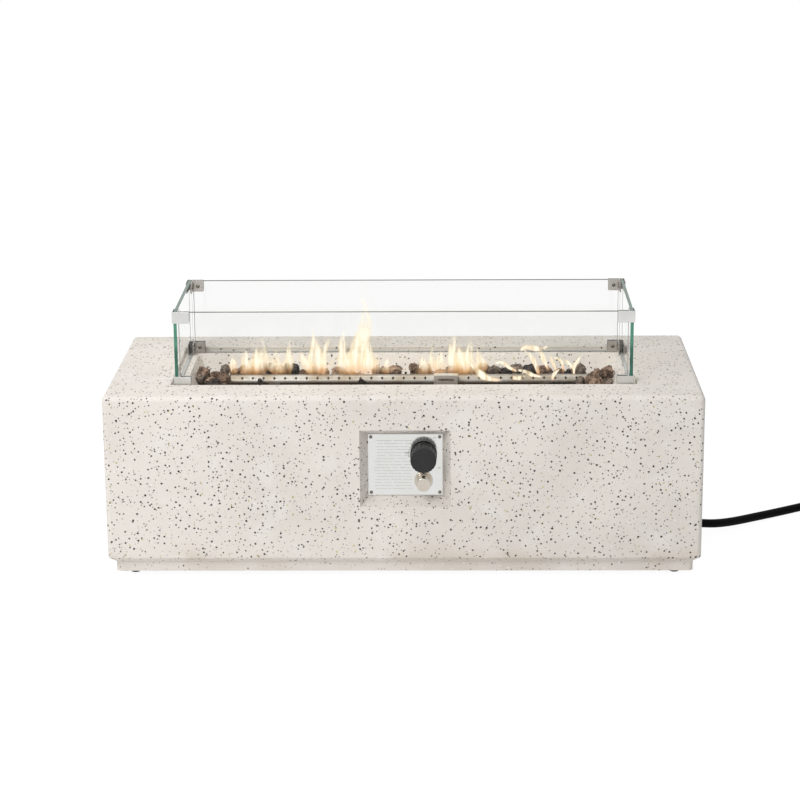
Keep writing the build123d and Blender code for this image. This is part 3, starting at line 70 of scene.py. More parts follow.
# Hose route in millimetres, from the grommet to the coil
HOSE_R = 8.0
HOSE_EXIT = (523.5, 22.0, 22.0)
HOSE_ROUTE = [
    HOSE_EXIT,
    (554.0, 22.0, 22.0),
    (588.0, 33.0, 17.0),
    (626.0, 61.5, 12.0),
    (672.0, 97.0, 9.3),
    (722.0, 131.0, 8.0),
    (772.0, 164.0, 8.0),
    (816.0, 190.0, 8.5),
]
COIL_AT = (900.0, 127.0)
COIL_OUTER_R = 96.0
COIL_INNER_R = 80.0
COIL_LOW_Z = 9.2
COIL_HIGH_Z = 25.2
COIL_ENTRY_DEG = 121.0
COIL_TRAVEL_DEG = 1201.0
COIL_STEP_DEG = 20.0
# The coil's radius and height at degrees of travel round it
COIL_RADII = [(270, COIL_OUTER_R), (360, COIL_INNER_R), (780, COIL_INNER_R), (900, COIL_OUTER_R)]
COIL_HEIGHTS = [(520, COIL_LOW_Z), (620, COIL_HIGH_Z)]
TAIL_END_Y = 63.0

# Terrazzo colours
PALE_CAST = (0.690, 0.648, 0.600)
GREY_CAST = (0.640, 0.600, 0.554)
WHITE_CAST = (0.735, 0.705, 0.668)
TAN_STAIN = (0.540, 0.462, 0.372)
STAIN_TOP = 0.075
STAIN_FULL = 0.01
PLINTH_TOP = 0.030
PLINTH_BLEND = 0.01
CHIP_SHAKE = 0.0022
GREY_CHIPS = ((0.32, 0.30, 0.27), (0.13, 0.12, 0.10))
WHITE_CHIPS = ((0.84, 0.83, 0.81), (0.78, 0.76, 0.73))
OLIVE_CHIPS = ((0.34, 0.30, 0.09), (0.54, 0.48, 0.22))
DARK_CHIPS = ((0.005, 0.005, 0.006), (0.075, 0.064, 0.056))

# Painted shade on the clips at the back, standing in for the dark bowl they mirror, by Y in metres
BACK_PAINTED_SHADE = (0.37, 0.33, 0.29)
BACK_SHADE_FULL_Y = 0.1
BACK_SHADE_SHARE = 0.55

# Glass colours
GLASS_CLEAR = (0.985, 0.987, 0.984)
GLASS_SIDE = (0.970, 0.972, 0.969)
GLASS_BACK = (0.958, 0.960, 0.957)
GLASS_GREEN = (0.085, 0.270, 0.190)
GLASS_DEEP = (0.028, 0.105, 0.075)
GLASS_TOP = (0.085, 0.088, 0.076)
GLASS_SIDE_TOP = (0.085, 0.150, 0.118)
GLASS_END = (0.420, 0.435, 0.425)
GLASS_TURN_Z = 0.408
GLASS_TURN_BLEND = 0.006
EDGE_UNEVEN = 0.8
# How much a pane mirrors at a glance and everywhere
LONG_MIRROR = 0.28
SIDE_MIRROR = 0.08
FRONT_HAZE = 0.01
PANE_HAZE = 0.02
GLASS_BEVEL = 0.0007

# Rounded edges of dressed pieces, in metres and degrees
CLIP_ROUND = 0.0006
PLATE_ROUND = 0.0004
ROUND_SEGMENTS = 2
ROUND_FROM_DEG = 40.0
SMOOTH_DEG = 35.0
SMOOTH_ALL_DEG = 180.0
FLAT_DEG = 1.0
SAME_POINT = 1e-6

# Painted shade on the burner's lower side, by height in metres, and round its ports, in millimetres
BURNER_PAINTED_SHADE = (0.045, 0.034, 0.026)
PAINTED_SHADE_LOW = 0.302
PAINTED_SHADE_HIGH = 0.315
PORT_PITCH = 20.0
PORT_ENDS = 12.0
PORT_RISE = 8.0
PORT_R = 1.3
PORT_SHADE_R = 2.1
PORT_SHADE_OFF = 0.06
RING_STEPS = 16
PAINTED_SHADE_SHARE = 0.85

# Flames: base X, tip X, base Z, tip Z, width and lean back, in millimetres
FLAMES = [
    (-316, -325, 322, 357, 11, 4),
    (-302, -289, 320, 366, 17, 6),
    (-283, -272, 322, 372, 14, 10),
    (-268, -265, 322, 384, 22, 8),
    (-244, -234, 322, 367, 18, 8),
    (-217, -211, 322, 387, 11, 6),
    (-179, -197, 322, 364, 16, 8),
    (-175, -171, 324, 411, 9, 10),
    (-156, -165, 322, 395, 15, 10),
    (-160, -131, 318, 402, 12, 10),
    (-118, -111, 318, 402, 16, 12),
    (-98, -104, 320, 372, 14, 8),
    (-82, -80, 316, 466, 28, 62),
    (-70, -66, 318, 386, 20, 12),
    (-56, -57, 318, 360, 14, 6),
    (-39, -28, 322, 350, 10, 4),
    (37, 31, 318, 356, 14, 6),
    (52, 52, 318, 373, 13, 8),
    (65, 65, 318, 369, 14, 8),
    (87, 89, 320, 373, 16, 8),
    (99, 95, 322, 392, 24, 16),
    (112, 123, 322, 383, 18, 10),
    (139, 141, 322, 373, 15, 8),
]
FLAME_Y = 10.0
# Curved flames over the burner's right half: their points from the root in millimetres, and width
CURVED_FLAMES = [
    (
        [
            (183, -14, 313),
            (163, -14, 315),
            (148, -14, 320),
            (136, -14, 330),
            (125, -14, 341),
            (118, -10, 354),
        ],
        11,
    ),
    ([(210, -6, 327), (194, -6, 335), (180, -6, 345), (162, -4, 342)], 9),
    ([(256, -14, 319), (237, -14, 323), (222, -14, 330), (206, -14, 333)], 8),
    ([(250, 6, 315), (243, 6, 336), (234, 6, 354), (220, 6, 366)], 8),
    ([(268, 6, 325), (259, 6, 344), (253, 6, 360), (244, 6, 370)], 8),
    ([(212, 6, 363), (224, 6, 371), (240, 6, 369), (253, 6, 368), (268, 6, 374)], 10),
    ([(282, 8, 322), (275, 8, 340), (267, 8, 360)], 6),
    ([(294, 8, 322), (292, 8, 340), (285, 8, 348), (273, 8, 350)], 6),
    ([(314, 8, 328), (304, 8, 340), (293, 8, 348)], 8),
    ([(314, 8, 316), (315, 8, 335), (327, 8, 354)], 8),
    ([(273, -14, 312), (276, -14, 324), (286, -14, 334)], 7),
    ([(198, -14, 319), (210, -14, 317), (222, -14, 321)], 9),
]
FLAME_ROOT = (1.0, 0.44, 0.10)
FLAME_WARM = (1.0, 0.79, 0.46)
FLAME_CORE = (1.0, 0.93, 0.77)
FLAME_STRENGTH = 1.15
FLAME_THIN_Z = 0.318
FLAME_FULL_Z = 0.346
FLAME_TOP_MAX = 470.0
FLAME_BELLY = 0.28
FLAME_FOOT = 0.55
FLAME_POINT = 0.06
FLAME_BOW = 0.4
FLAME_ACROSS = 8
FLAME_STEPS = 16

# Lava rocks seen behind the burner: left X, right X, top Z and tone, in millimetres
BACK_ROCKS = [
    (-326, -311, 323, 0),
    (-311, -292, 330, 0),
    (-293, -271, 326, 0),
    (-273, -259, 335, 1),
    (-261, -245, 333, 2),
    (-246, -227, 331, 1),
    (-227, -216, 334, 2),
    (-216, -198, 334, 2),
    (-199, -181, 323, 0),
    (-182, -162, 327, 1),
    (-163, -144, 325, 0),
    (-136, -113, 326, 0),
    (-110, -91, 317, 1),
    (-61, -46, 327, 1),
    (-48, -33, 325, 2),
    (-32, -9, 329, 0),
    (9, 25, 333, 0),
    (31, 49, 331, 1),
    (55, 77, 321, 0),
    (78, 97, 328, 0),
    (97, 117, 338, 0),
    (116, 136, 324, 0),
    (137, 155, 333, 0),
    (154, 177, 328, 1),
    (176, 198, 324, 2),
    (197, 220, 330, 1),
    (222, 246, 330, 2),
    (245, 274, 327, 0),
    (281, 298, 322, 0),
    (300, 311, 321, 2),
    (310, 322, 326, 0),
    (319, 336, 330, 1),
]
BACK_ROCK_Y = 33.0
# Rocks beyond the burner's ends and low ones before it: X, Y, half width, foot Z, top Z and tone
END_ROCKS = [
    (-374, 0, 13, 310, 337, 0),
    (-353, -8, 10, 311, 330, 0),
    (-334, 10, 10, 320, 338, 1),
    (-334, -17, 11, 308, 330, 0),
    (-379, -15, 9, 307, 327, 1),
    (-358, -24, 13, 305, 323, 0),
    (-372, 2, 15, 295, 316, 1),
    (-346, 4, 14, 295, 324, 0),
    (-360, -22, 15, 294, 314, 2),
    (-336, -16, 11, 294, 314, 1),
    (327, 27, 10, 312, 331, 1),
    (341, -26, 10, 304, 328, 0),
    (357, 2, 11, 309, 332, 0),
    (376, 6, 12, 310, 336, 0),
    (324, -27, 8, 303, 325, 1),
    (354, -22, 12, 302, 322, 0),
    (377, -20, 13, 302, 318, 1),
    (358, 4, 15, 295, 316, 1),
    (378, 8, 14, 295, 318, 0),
    (340, -26, 11, 294, 310, 1),
    (366, -22, 15, 294, 308, 2),
    (330, 28, 11, 294, 316, 0),
    (-267, -27, 8, 296, 321, 2),
    (-79, -27, 9, 296, 320, 2),
]
# Rocks of the solids that give way to the lists above, in millimetres, and the low ones behind
END_ROCK_X = 325.0
END_ROCK_Y = 30.0
BACK_ROW_Y = 55.0
LOW_ROCK_FROM_Y = 30.0
LOW_ROCK_SHARE = 0.36
ROCK_SWELL = 0.53
BED_TOP = 296.0
SMALL_ROCK_PITCH = 0.019
SMALL_ROCK_R = 0.0115
SMALL_ROCK_GAP = 0.009
SMALL_ROCK_SHIFT = 0.3
FRONT_ROW_FROM = -0.045
FRONT_ROW_RISE = 0.005
ROCK_SEED = 23
# A rock's lumps, as size and fineness, and its flat sides, as count and how far out they lie
ROCK_BASE = 0.97
ROCK_LUMPS = ((0.26, 1.6), (0.17, 3.8), (0.09, 8.0), (0.05, 17.0))
ROCK_FLATS = 5
ROCK_FLAT_FROM = 0.72
ROCK_FLAT_TO = 0.9
ROCK_FLAT_CUT = 0.75
BROWN_UP_TO = 0.58
GREY_UP_TO = 0.84

# Dial round the knob, in millimetres: its middle and radius, its ticks, first and last angle
DIAL_AT = (36.0, 225.5)
DIAL_R = 25.6
DIAL_TICK = 2.4
DIAL_TICK_W = 1.0
DIAL_FROM_DEG = 100.0
DIAL_TO_DEG = 186.0
DIAL_TICKS = 11
DIAL_OFF = 0.04

# Printed lines on the control plate, in millimetres from its centre
LINE_PITCH = 5.6
LINE_COUNT = 17
LINE_LEFT = -56.0
LINE_RIGHT = 12.0
LINE_H = 0.9
LINE_SEED = 5

# The knob's marks: word, X and Z in millimetres, and how thick the ink is, in metres
MARKS = [("OFF", 6.0, 228.5), ("HI", 56.0, 257.0), ("LO", 64.0, 201.0)]
MARK_SIZE = 4.0
MARK_INK = 0.00002
MARK_OFF = 0.00003
LINE_INK = 0.00004

# Lamps: name, place, aim, width and height in metres, power in watts, and tint
PLAIN_LIGHT = (1.0, 1.0, 1.0)
FIRE_LIGHT = (1.0, 0.86, 0.66)
LAMPS = [
    ("key", (-1.5, -2.6, 2.7), (0.0, 0.0, 0.2), 2.4, 1.8, 89.0, PLAIN_LIGHT),
    ("top", (-1.1, 0.3, 2.9), (0.0, 0.0, 0.3), 2.2, 2.2, 23.0, PLAIN_LIGHT),
    ("fire", (0.0, 0.02, 0.52), (0.0, 0.02, 0.3), 0.7, 0.12, 0.3, FIRE_LIGHT),
]
WORLD_LIGHT = 0.5
WORLD_SEEN = 1.0
FLOOR_GLOW = 1.08
FLOOR_SEEN = 0.88
FLOOR_HALF = 9.0
FLOOR_Z = -0.0004


# Node helpers
def shader(name, colour, roughness, metallic=0.0):
    """A new material and its principled node."""
    mat = bpy.data.materials.new(name)
    mat.use_nodes = True
    surface = mat.node_tree.nodes["Principled BSDF"]
    surface.inputs["Base Color"].default_value = (*colour, 1.0)
    surface.inputs["Roughness"].default_value = roughness
    surface.inputs["Metallic"].default_value = metallic
    return mat, surface


def join(mat, socket, value):
    """Sets an input to a value, or links another node's output to it."""
    if isinstance(value, bpy.types.NodeSocket):
        mat.node_tree.links.new(value, socket)
    elif isinstance(value, tuple) and len(value) == 3 and socket.type == "RGBA":
        socket.default_value = (*value, 1.0)
    else:
        socket.default_value = value


def add(mat, kind, sockets):
    """A new node with its inputs set or linked."""
    new = mat.node_tree.nodes.new(kind)
    for key, value in sockets.items():
        join(mat, new.inputs[key], value)
    return new


def place(mat):
    """The point on the surface in the part's own frame."""
    return add(mat, "ShaderNodeTexCoord", {}).outputs["Object"]


def stretched(mat, where, scale):
    return add(mat, "ShaderNodeMapping", {"Vector": where, "Scale": scale}).outputs["Vector"]


def grain(mat, where, scale, detail=2.0):
    """Soft noise from 0 to 1."""
    sockets = {"Vector": where, "Scale": scale, "Detail": detail}
    return add(mat, "ShaderNodeTexNoise", sockets).outputs["Fac"]


def calc(mat, operation, a, b):
    new = mat.node_tree.nodes.new("ShaderNodeMath")
    new.operation = operation
    join(mat, new.inputs[0], a)
    join(mat, new.inputs[1], b)
    return new.outputs[0]


def ramp(mat, value, low, high, start=0.0, end=1.0):
    """Maps low..high smoothly onto start..end."""
    sockets = {"Value": value, "From Min": low, "From Max": high, "To Min": start, "To Max": end}
    new = add(mat, "ShaderNodeMapRange", sockets)
    new.interpolation_type = "SMOOTHSTEP"
    return new.outputs["Result"]


def mix(mat, share, first, second):
    sockets = {"Fac": share, "Color1": first, "Color2": second}
    return add(mat, "ShaderNodeMixRGB", sockets).outputs["Color"]


def bump(mat, surface, height, strength, distance):
    sockets = {"Height": height, "Strength": strength, "Distance": distance}
    mat.node_tree.links.new(add(mat, "ShaderNodeBump", sockets).outputs["Normal"], surface.inputs["Normal"])


# Materials
def specks(mat, where, under, scale, largest, share, first, second):
    """Chips of uneven size and tone scattered through the cast, over the colour under them."""
    cells = add(mat, "ShaderNodeTexVoronoi", {"Vector": where, "Scale": scale})
    chance = add(mat, "ShaderNodeSeparateColor", {"Color": cells.outputs["Color"]})
    reach = ramp(mat, chance.outputs["Red"], 0.0, 1.0, 0.55 * largest * scale, largest * scale)
    inner = calc(mat, "MULTIPLY", reach, 0.8)
    chip = ramp(mat, cells.outputs["Distance"], inner, reach, 1.0, 0.0)
    chosen = calc(mat, "LESS_THAN", chance.outputs["Green"], share)
    tone = mix(mat, chance.outputs["Blue"], first, second)
    return mix(mat, calc(mat, "MULTIPLY", chip, chosen), under, tone)


def terrazzo():
    """The pale cast: clouded, stained low down, with chips of four kinds."""
    mat, surface = shader("terrazzo", PALE_CAST, 0.62)
    where = place(mat)
    shake = add(mat, "ShaderNodeTexNoise", {"Vector": where, "Scale": 330.0, "Detail": 1.0})
    shift = add(mat, "ShaderNodeVectorMath", {0: shake.outputs["Color"], 1: (0.5, 0.5, 0.5)})
    shift.operation = "SUBTRACT"
    small = add(mat, "ShaderNodeVectorMath", {0: shift.outputs[0]})
    small.operation = "SCALE"
    small.inputs["Scale"].default_value = CHIP_SHAKE
    bent = add(mat, "ShaderNodeVectorMath", {0: where, 1: small.outputs[0]}).outputs[0]
    cloud = ramp(mat, grain(mat, where, 6.0, 4.0), 0.38, 0.66)
    colour = mix(mat, cloud, PALE_CAST, GREY_CAST)
    patch = ramp(mat, grain(mat, where, 19.0, 3.0), 0.52, 0.75, 0.0, 0.6)
    colour = mix(mat, patch, colour, WHITE_CAST)
    height = add(mat, "ShaderNodeSeparateXYZ", {"Vector": where}).outputs["Z"]
    low = ramp(mat, height, STAIN_FULL, STAIN_TOP, 1.0, 0.0)
    blot = ramp(mat, grain(mat, where, 11.0, 4.0), 0.44, 0.62)
    stain = ramp(mat, height, PLINTH_TOP, PLINTH_TOP + PLINTH_BLEND, 0.25, 1.0)
    stained = calc(mat, "MULTIPLY", calc(mat, "MULTIPLY", low, blot), stain)
    colour = mix(mat, stained, colour, TAN_STAIN)
    colour = specks(mat, bent, colour, 150.0, 0.0014, 0.85, *GREY_CHIPS)
    colour = specks(mat, bent, colour, 80.0, 0.0016, 0.30, *WHITE_CHIPS)
    colour = specks(mat, bent, colour, 92.0, 0.0022, 0.24, *OLIVE_CHIPS)
    thick = ramp(mat, height, PLINTH_TOP, PLINTH_TOP + PLINTH_BLEND, 0.25, 0.80)
    colour = specks(mat, bent, colour, 128.0, 0.0022, thick, *DARK_CHIPS)
    join(mat, surface.inputs["Base Color"], colour)
    rough = ramp(mat, grain(mat, where, 60.0), 0.3, 0.7, 0.55, 0.75)
    join(mat, surface.inputs["Roughness"], rough)
    pores = grain(mat, where, 420.0, 3.0)
    waves = grain(mat, where, 24.0, 2.0)
    bump(mat, surface, calc(mat, "ADD", pores, calc(mat, "MULTIPLY", waves, 2.0)), 0.2, 0.0012)
    return mat


def metal(name, colour, roughness, brush, tint=(0.9, 0.9, 0.9), depth=0.05, low_painted_shade=False, back_painted_shade=False):
    """A metal with fine brush lines along the axis that brush stretches least, uneven tone, and painted
    shade low down or towards the back where asked.
    """
    mat, surface = shader(name, colour, roughness, 1.0)
    where = place(mat)
    lines = grain(mat, stretched(mat, where, brush), 1.0, 3.0)
    clouds = grain(mat, where, 26.0, 3.0)
    darker = tuple(c * t for c, t in zip(colour, tint))
    tone = mix(mat, ramp(mat, clouds, 0.35, 0.68), colour, darker)
    if low_painted_shade:
        height = add(mat, "ShaderNodeSeparateXYZ", {"Vector": where}).outputs["Z"]
        # Painted shade: darker along the tube's lower side, where shade falls
        tone = mix(mat, ramp(mat, height, PAINTED_SHADE_LOW, PAINTED_SHADE_HIGH, PAINTED_SHADE_SHARE, 0.0), tone, BURNER_PAINTED_SHADE)
    if back_painted_shade:
        # Painted shade: the steel darkens towards the back, standing in for the dark bowl it mirrors
        behind = add(mat, "ShaderNodeSeparateXYZ", {"Vector": where}).outputs["Y"]
        tone = mix(mat, ramp(mat, behind, 0.0, BACK_SHADE_FULL_Y, 0.0, BACK_SHADE_SHARE), tone, BACK_PAINTED_SHADE)
    join(mat, surface.inputs["Base Color"], tone)
    spread = ramp(mat, lines, 0.25, 0.75, max(0.02, roughness - 0.08), roughness + 0.1)
    join(mat, surface.inputs["Roughness"], spread)
    bump(mat, surface, lines, depth, 0.0004)
    return mat


def moulded(name, colour, roughness, lighter=1.5, gloss=0.5):
    """Plastic or rubber with a fine moulded grain."""
    mat, surface = shader(name, colour, roughness)
    surface.inputs["Specular IOR Level"].default_value = gloss
    where = place(mat)
    fine = grain(mat, where, 900.0, 2.0)
    wear = ramp(mat, grain(mat, where, 45.0, 4.0), 0.45, 0.75)
    worn = tuple(min(1.0, c * lighter) for c in colour)
    join(mat, surface.inputs["Base Color"], mix(mat, wear, colour, worn))
    join(mat, surface.inputs["Roughness"], ramp(mat, fine, 0.3, 0.7, roughness - 0.06, roughness + 0.08))
    bump(mat, surface, fine, 0.12, 0.0003)
    return mat


def lava(name, dark, light):
    """Porous volcanic stone: lighter and darker patches at random, and painted shade in its small bubbles.
    """
    mat, surface = shader(name, dark, 0.95)
    surface.inputs["Specular IOR Level"].default_value = 0.15
    where = place(mat)
    lumps = grain(mat, where, 95.0, 5.0)
    colour = mix(mat, ramp(mat, lumps, 0.36, 0.68), dark, light)
    bubbles = add(mat, "ShaderNodeTexVoronoi", {"Vector": where, "Scale": 330.0}).outputs["Distance"]
    pit = ramp(mat, bubbles, 0.18, 0.42)
    # Painted shade: the bubbles' hollows darkened
    pit_painted_shade = tuple(c * 0.35 for c in dark)
    join(mat, surface.inputs["Base Color"], mix(mat, pit, pit_painted_shade, colour))
    rough = grain(mat, where, 260.0, 4.0)
    bump(mat, surface, calc(mat, "ADD", pit, rough), 0.7, 0.0016)
    return mat


def glass_face(name, tint, mirror, haze):
    """Clear pane: lets light straight through with a faint tint, and mirrors at a glance."""
    mat, surface = shader(name, (0.93, 0.94, 0.94), 0.02, 1.0)
    clear = add(mat, "ShaderNodeBsdfTransparent", {"Color": tint})
    facing = add(mat, "ShaderNodeLayerWeight", {"Blend": 0.5}).outputs["Facing"]
    steep = calc(mat, "POWER", facing, 5.0)
    glance = calc(mat, "ADD", calc(mat, "MULTIPLY", steep, mirror), haze)
    both = mat.node_tree.nodes.new("ShaderNodeMixShader")
    join(mat, both.inputs[0], glance)
    mat.node_tree.links.new(clear.outputs[0], both.inputs[1])
    mat.node_tree.links.new(surface.outputs[0], both.inputs[2])
    output = mat.node_tree.nodes["Material Output"]
    mat.node_tree.links.new(both.outputs[0], output.inputs["Surface"])
    return mat


def glass_edge(name, colour):
    """The ground edge of a pane, cloudy along its length."""
    mat, surface = shader(name, colour, 0.22)
    surface.inputs["Specular IOR Level"].default_value = 0.25
    where = place(mat)
    depth = grain(mat, stretched(mat, where, (9.0, 9.0, 22.0)), 1.0, 3.0)
    deeper = tuple(c * EDGE_UNEVEN for c in colour)
    join(mat, surface.inputs["Base Color"], mix(mat, ramp(mat, depth, 0.3, 0.7), deeper, colour))
    bump(mat, surface, grain(mat, where, 500.0, 2.0), 0.05, 0.0002)
    return mat


def glass_green():
    """The upright ground edge of a side pane, deep green low down and brighter above."""
    mat, surface = shader("glass_green", GLASS_GREEN, 0.2)
    surface.inputs["Specular IOR Level"].default_value = 0.3
    where = place(mat)
    level = add(mat, "ShaderNodeSeparateXYZ", {"Vector": where}).outputs["Z"]
    high = ramp(mat, level, GLASS_TURN_Z - GLASS_TURN_BLEND, GLASS_TURN_Z + GLASS_TURN_BLEND)
    depth = grain(mat, stretched(mat, where, (9.0, 9.0, 30.0)), 1.0, 3.0)
    deeper = tuple(c * 0.72 for c in GLASS_GREEN)
    upper = mix(mat, ramp(mat, depth, 0.3, 0.7), deeper, GLASS_GREEN)
    lower = mix(mat, ramp(mat, depth, 0.35, 0.75), GLASS_DEEP, tuple(c * 1.7 for c in GLASS_DEEP))
    join(mat, surface.inputs["Base Color"], mix(mat, high, lower, upper))
    return mat


def flame_glow():
    """A glowing sheet: orange at its root, cream in its middle, fading at its sides and tip."""
    mat, surface = shader("flame", (0.0, 0.0, 0.0), 1.0)
    surface.inputs["Specular IOR Level"].default_value = 0.0
    shape = add(mat, "ShaderNodeAttribute", {})
    shape.attribute_name = "tongue"
    parts = add(mat, "ShaderNodeSeparateColor", {"Color": shape.outputs["Color"]})
    along = parts.outputs["Red"]
    across = parts.outputs["Green"]
    where = place(mat)
    streak = ramp(mat, grain(mat, stretched(mat, where, (150.0, 80.0, 22.0)), 1.0, 3.0), 0.3, 0.66)
    side = ramp(mat, across, 0.0, 0.6)
    height = add(mat, "ShaderNodeSeparateXYZ", {"Vector": where}).outputs["Z"]
    over_rocks = ramp(mat, height, FLAME_THIN_Z, FLAME_FULL_Z, 0.15, 1.0)
    low_down = calc(mat, "MAXIMUM", over_rocks, shape.outputs["Alpha"])
    root = calc(mat, "MULTIPLY", low_down, ramp(mat, along, 0.0, 0.12))
    ragged = calc(mat, "ADD", along, ramp(mat, streak, 0.0, 1.0, 0.16, -0.1))
    tip = ramp(mat, ragged, 0.5, 0.98, 1.0, 0.0)
    body = calc(mat, "MULTIPLY", calc(mat, "MULTIPLY", side, root), tip)
    wisp = ramp(mat, streak, 0.0, 1.0, 0.62, 1.0)
    dense = calc(mat, "MULTIPLY", wisp, parts.outputs["Blue"])
    join(mat, surface.inputs["Alpha"], calc(mat, "MULTIPLY", body, dense))
    warm = mix(mat, calc(mat, "MULTIPLY", ramp(mat, along, 0.02, 0.3), low_down), FLAME_ROOT, FLAME_WARM)
    core = calc(mat, "MULTIPLY", calc(mat, "MULTIPLY", streak, side), low_down)
    glow = mix(mat, core, warm, FLAME_CORE)
    join(mat, surface.inputs["Emission Color"], glow)
    surface.inputs["Emission Strength"].default_value = FLAME_STRENGTH
    return mat


def white_floor():
    """Pale floor that keeps a faint shadow of the object."""
    mat, surface = shader("floor", (0.9, 0.9, 0.9), 0.9)
    light = add(mat, "ShaderNodeEmission", {"Color": (1.0, 1.0, 1.0), "Strength": FLOOR_GLOW})
    rays = add(mat, "ShaderNodeLightPath", {})
    seen = calc(mat, "MAXIMUM", rays.outputs["Is Camera Ray"], rays.outputs["Is Transmission Ray"])
    seen = calc(mat, "MAXIMUM", seen, rays.outputs["Is Glossy Ray"])
    both = mat.node_tree.nodes.new("ShaderNodeMixShader")
    join(mat, both.inputs[0], calc(mat, "MULTIPLY", seen, FLOOR_SEEN))
    mat.node_tree.links.new(surface.outputs[0], both.inputs[1])
    mat.node_tree.links.new(light.outputs[0], both.inputs[2])
    mat.node_tree.links.new(both.outputs[0], mat.node_tree.nodes["Material Output"].inputs["Surface"])
    return mat


def burner_steel(brush):
    """Steel that has been hot: dull and tinted, with painted shade along its underside."""
    return metal("burner_steel", (0.36, 0.345, 0.32), 0.42, brush, (0.78, 0.70, 0.60), low_painted_shade=True)


def plate_steel(brush):
    return metal("polished_steel", (0.70, 0.70, 0.685), 0.1, brush, (0.97, 0.97, 0.96), 0.012)


def slot_materials():
    """The material of each slot of the record."""
    along_x = (4.0, 500.0, 500.0)
    along_y = (500.0, 4.0, 500.0)
    around = (160.0, 160.0, 160.0)
    return {
        "terrazzo": terrazzo(),
        "zinc_insert": metal("zinc_insert", (0.55, 0.55, 0.56), 0.45, around),
        "black_plastic": moulded("black_plastic", (0.009, 0.009, 0.010), 0.5, 1.4, 0.4),
        "clear_glass": glass_face("glass_clear", GLASS_CLEAR, LONG_MIRROR, FRONT_HAZE),
        "satin_steel": metal("satin_steel", (0.70, 0.695, 0.68), 0.34, along_x, back_painted_shade=True),
        "screw_steel": metal("screw_steel", (0.19, 0.175, 0.15), 0.3, around),
        "pad_rubber": moulded("pad_rubber", (0.05, 0.05, 0.05), 0.6),
        "pan_steel": metal("pan_steel", (0.42, 0.41, 0.40), 0.42, along_x, (0.6, 0.5, 0.42)),
        "burner_steel": burner_steel(along_x),
        "brass": metal("brass", (0.72, 0.53, 0.24), 0.3, around, (0.8, 0.72, 0.6)),
        "bare_aluminium": metal("bare_aluminium", (0.66, 0.66, 0.68), 0.42, around),
        "stem_steel": metal("stem_steel", (0.56, 0.56, 0.58), 0.3, along_y),
        "white_ceramic": moulded("white_ceramic", (0.78, 0.76, 0.71), 0.5, 1.08),
        "copper_capillary": metal("copper_capillary", (0.74, 0.40, 0.25), 0.34, around, (0.6, 0.5, 0.5)),
        "lead_rubber": moulded("lead_rubber", (0.36, 0.05, 0.04), 0.5, 1.2),
        "lava_stone": lava("lava_brown", (0.100, 0.064, 0.045), (0.400, 0.275, 0.200)),
        "polished_steel": plate_steel(along_x),
        "chrome": metal("chrome", (0.58, 0.53, 0.46), 0.1, around, (0.92, 0.9, 0.86), 0.02),
        "grey_plastic": moulded("grey_plastic", (0.25, 0.25, 0.25), 0.5),
        "hose_rubber": moulded("hose_rubber", (0.002, 0.002, 0.002), 0.6, 1.6, 0.06),
        "ferrule_steel": metal("ferrule_steel", (0.6, 0.6, 0.58), 0.3, along_y),
        "grey_paint": moulded("grey_paint", (0.24, 0.25, 0.26), 0.36, 1.15),
    }


materials = slot_materials()
slot_of = {part["node"]: part["material_slot"] for part in frame["record"]["subparts"]}
pale_end = glass_edge("glass_end", GLASS_END)
long_edges = [glass_edge("glass_top", GLASS_TOP), pale_end]
side_face = glass_face("glass_side", GLASS_SIDE, SIDE_MIRROR, PANE_HAZE)
back_face = glass_face("glass_back", GLASS_BACK, LONG_MIRROR, PANE_HAZE)
side_edges = [glass_edge("glass_side_top", GLASS_SIDE_TOP), glass_green(), pale_end]
dark_ink = moulded("dark_ink", (0.05, 0.05, 0.05), 0.5)
rock_mats = [
    materials["lava_stone"],
    lava("lava_grey", (0.080, 0.062, 0.050), (0.300, 0.235, 0.190)),
    lava("lava_black", (0.016, 0.014, 0.014), (0.075, 0.062, 0.056)),
]


# Piece helpers
def piece(name, mesh, body, mats):
    """A new object with its materials, riding on a body."""
    obj = bpy.data.objects.new(name, mesh)
    bpy.context.scene.collection.objects.link(obj)
    for mat in mats:
        mesh.materials.append(mat)
    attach(obj, body)
    return obj


def mesh_from(bm, name, smooth_deg=None):
    mesh = bpy.data.meshes.new(name)
    bmesh.ops.recalc_face_normals(bm, faces=bm.faces)
    bm.to_mesh(mesh)
    bm.free()
    if smooth_deg is not None:
        mesh.shade_smooth()
        mesh.set_sharp_from_angle(angle=math.radians(smooth_deg))
    return mesh


def dress(node, body, width):
    """A copy of a CAD node with its sharp edges rounded, shown in its place."""
    bm = bmesh.new()
    bm.from_mesh(frame["nodes"][node].data)
    bmesh.ops.remove_doubles(bm, verts=bm.verts, dist=SAME_POINT)
    bmesh.ops.dissolve_limit(bm, angle_limit=math.radians(FLAT_DEG), verts=bm.verts, edges=bm.edges)
    name = node + "_finish"
    slot = slot_of[node]
    obj = piece(name, mesh_from(bm, name, SMOOTH_DEG), body, [materials[slot]])
    rounded = obj.modifiers.new("rounded", "BEVEL")
    rounded.width = width
    rounded.segments = ROUND_SEGMENTS
    rounded.limit_method = "ANGLE"
    rounded.angle_limit = math.radians(ROUND_FROM_DEG)
    rounded.harden_normals = True
    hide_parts(node)


def islands(node):
    """The lowest and highest corner of each separate solid of a node."""
    bm = bmesh.new()
    bm.from_mesh(frame["nodes"][node].data)
    bmesh.ops.remove_doubles(bm, verts=bm.verts, dist=SAME_POINT)
    left = set(bm.verts)
    boxes = []
    while left:
        todo = [min(left, key=lambda v: v.index)]
        left.discard(todo[0])
        low = todo[0].co.copy()
        high = todo[0].co.copy()
        while todo:
            vert = todo.pop()
            low = Vector(min(a, b) for a, b in zip(low, vert.co))
            high = Vector(max(a, b) for a, b in zip(high, vert.co))
            for edge in vert.link_edges:
                other = edge.other_vert(vert)
                if other in left:
                    left.discard(other)
                    todo.append(other)
        boxes.append((low, high))
    bm.free()
    return boxes


def metres(point):
    return Vector(point) * MM


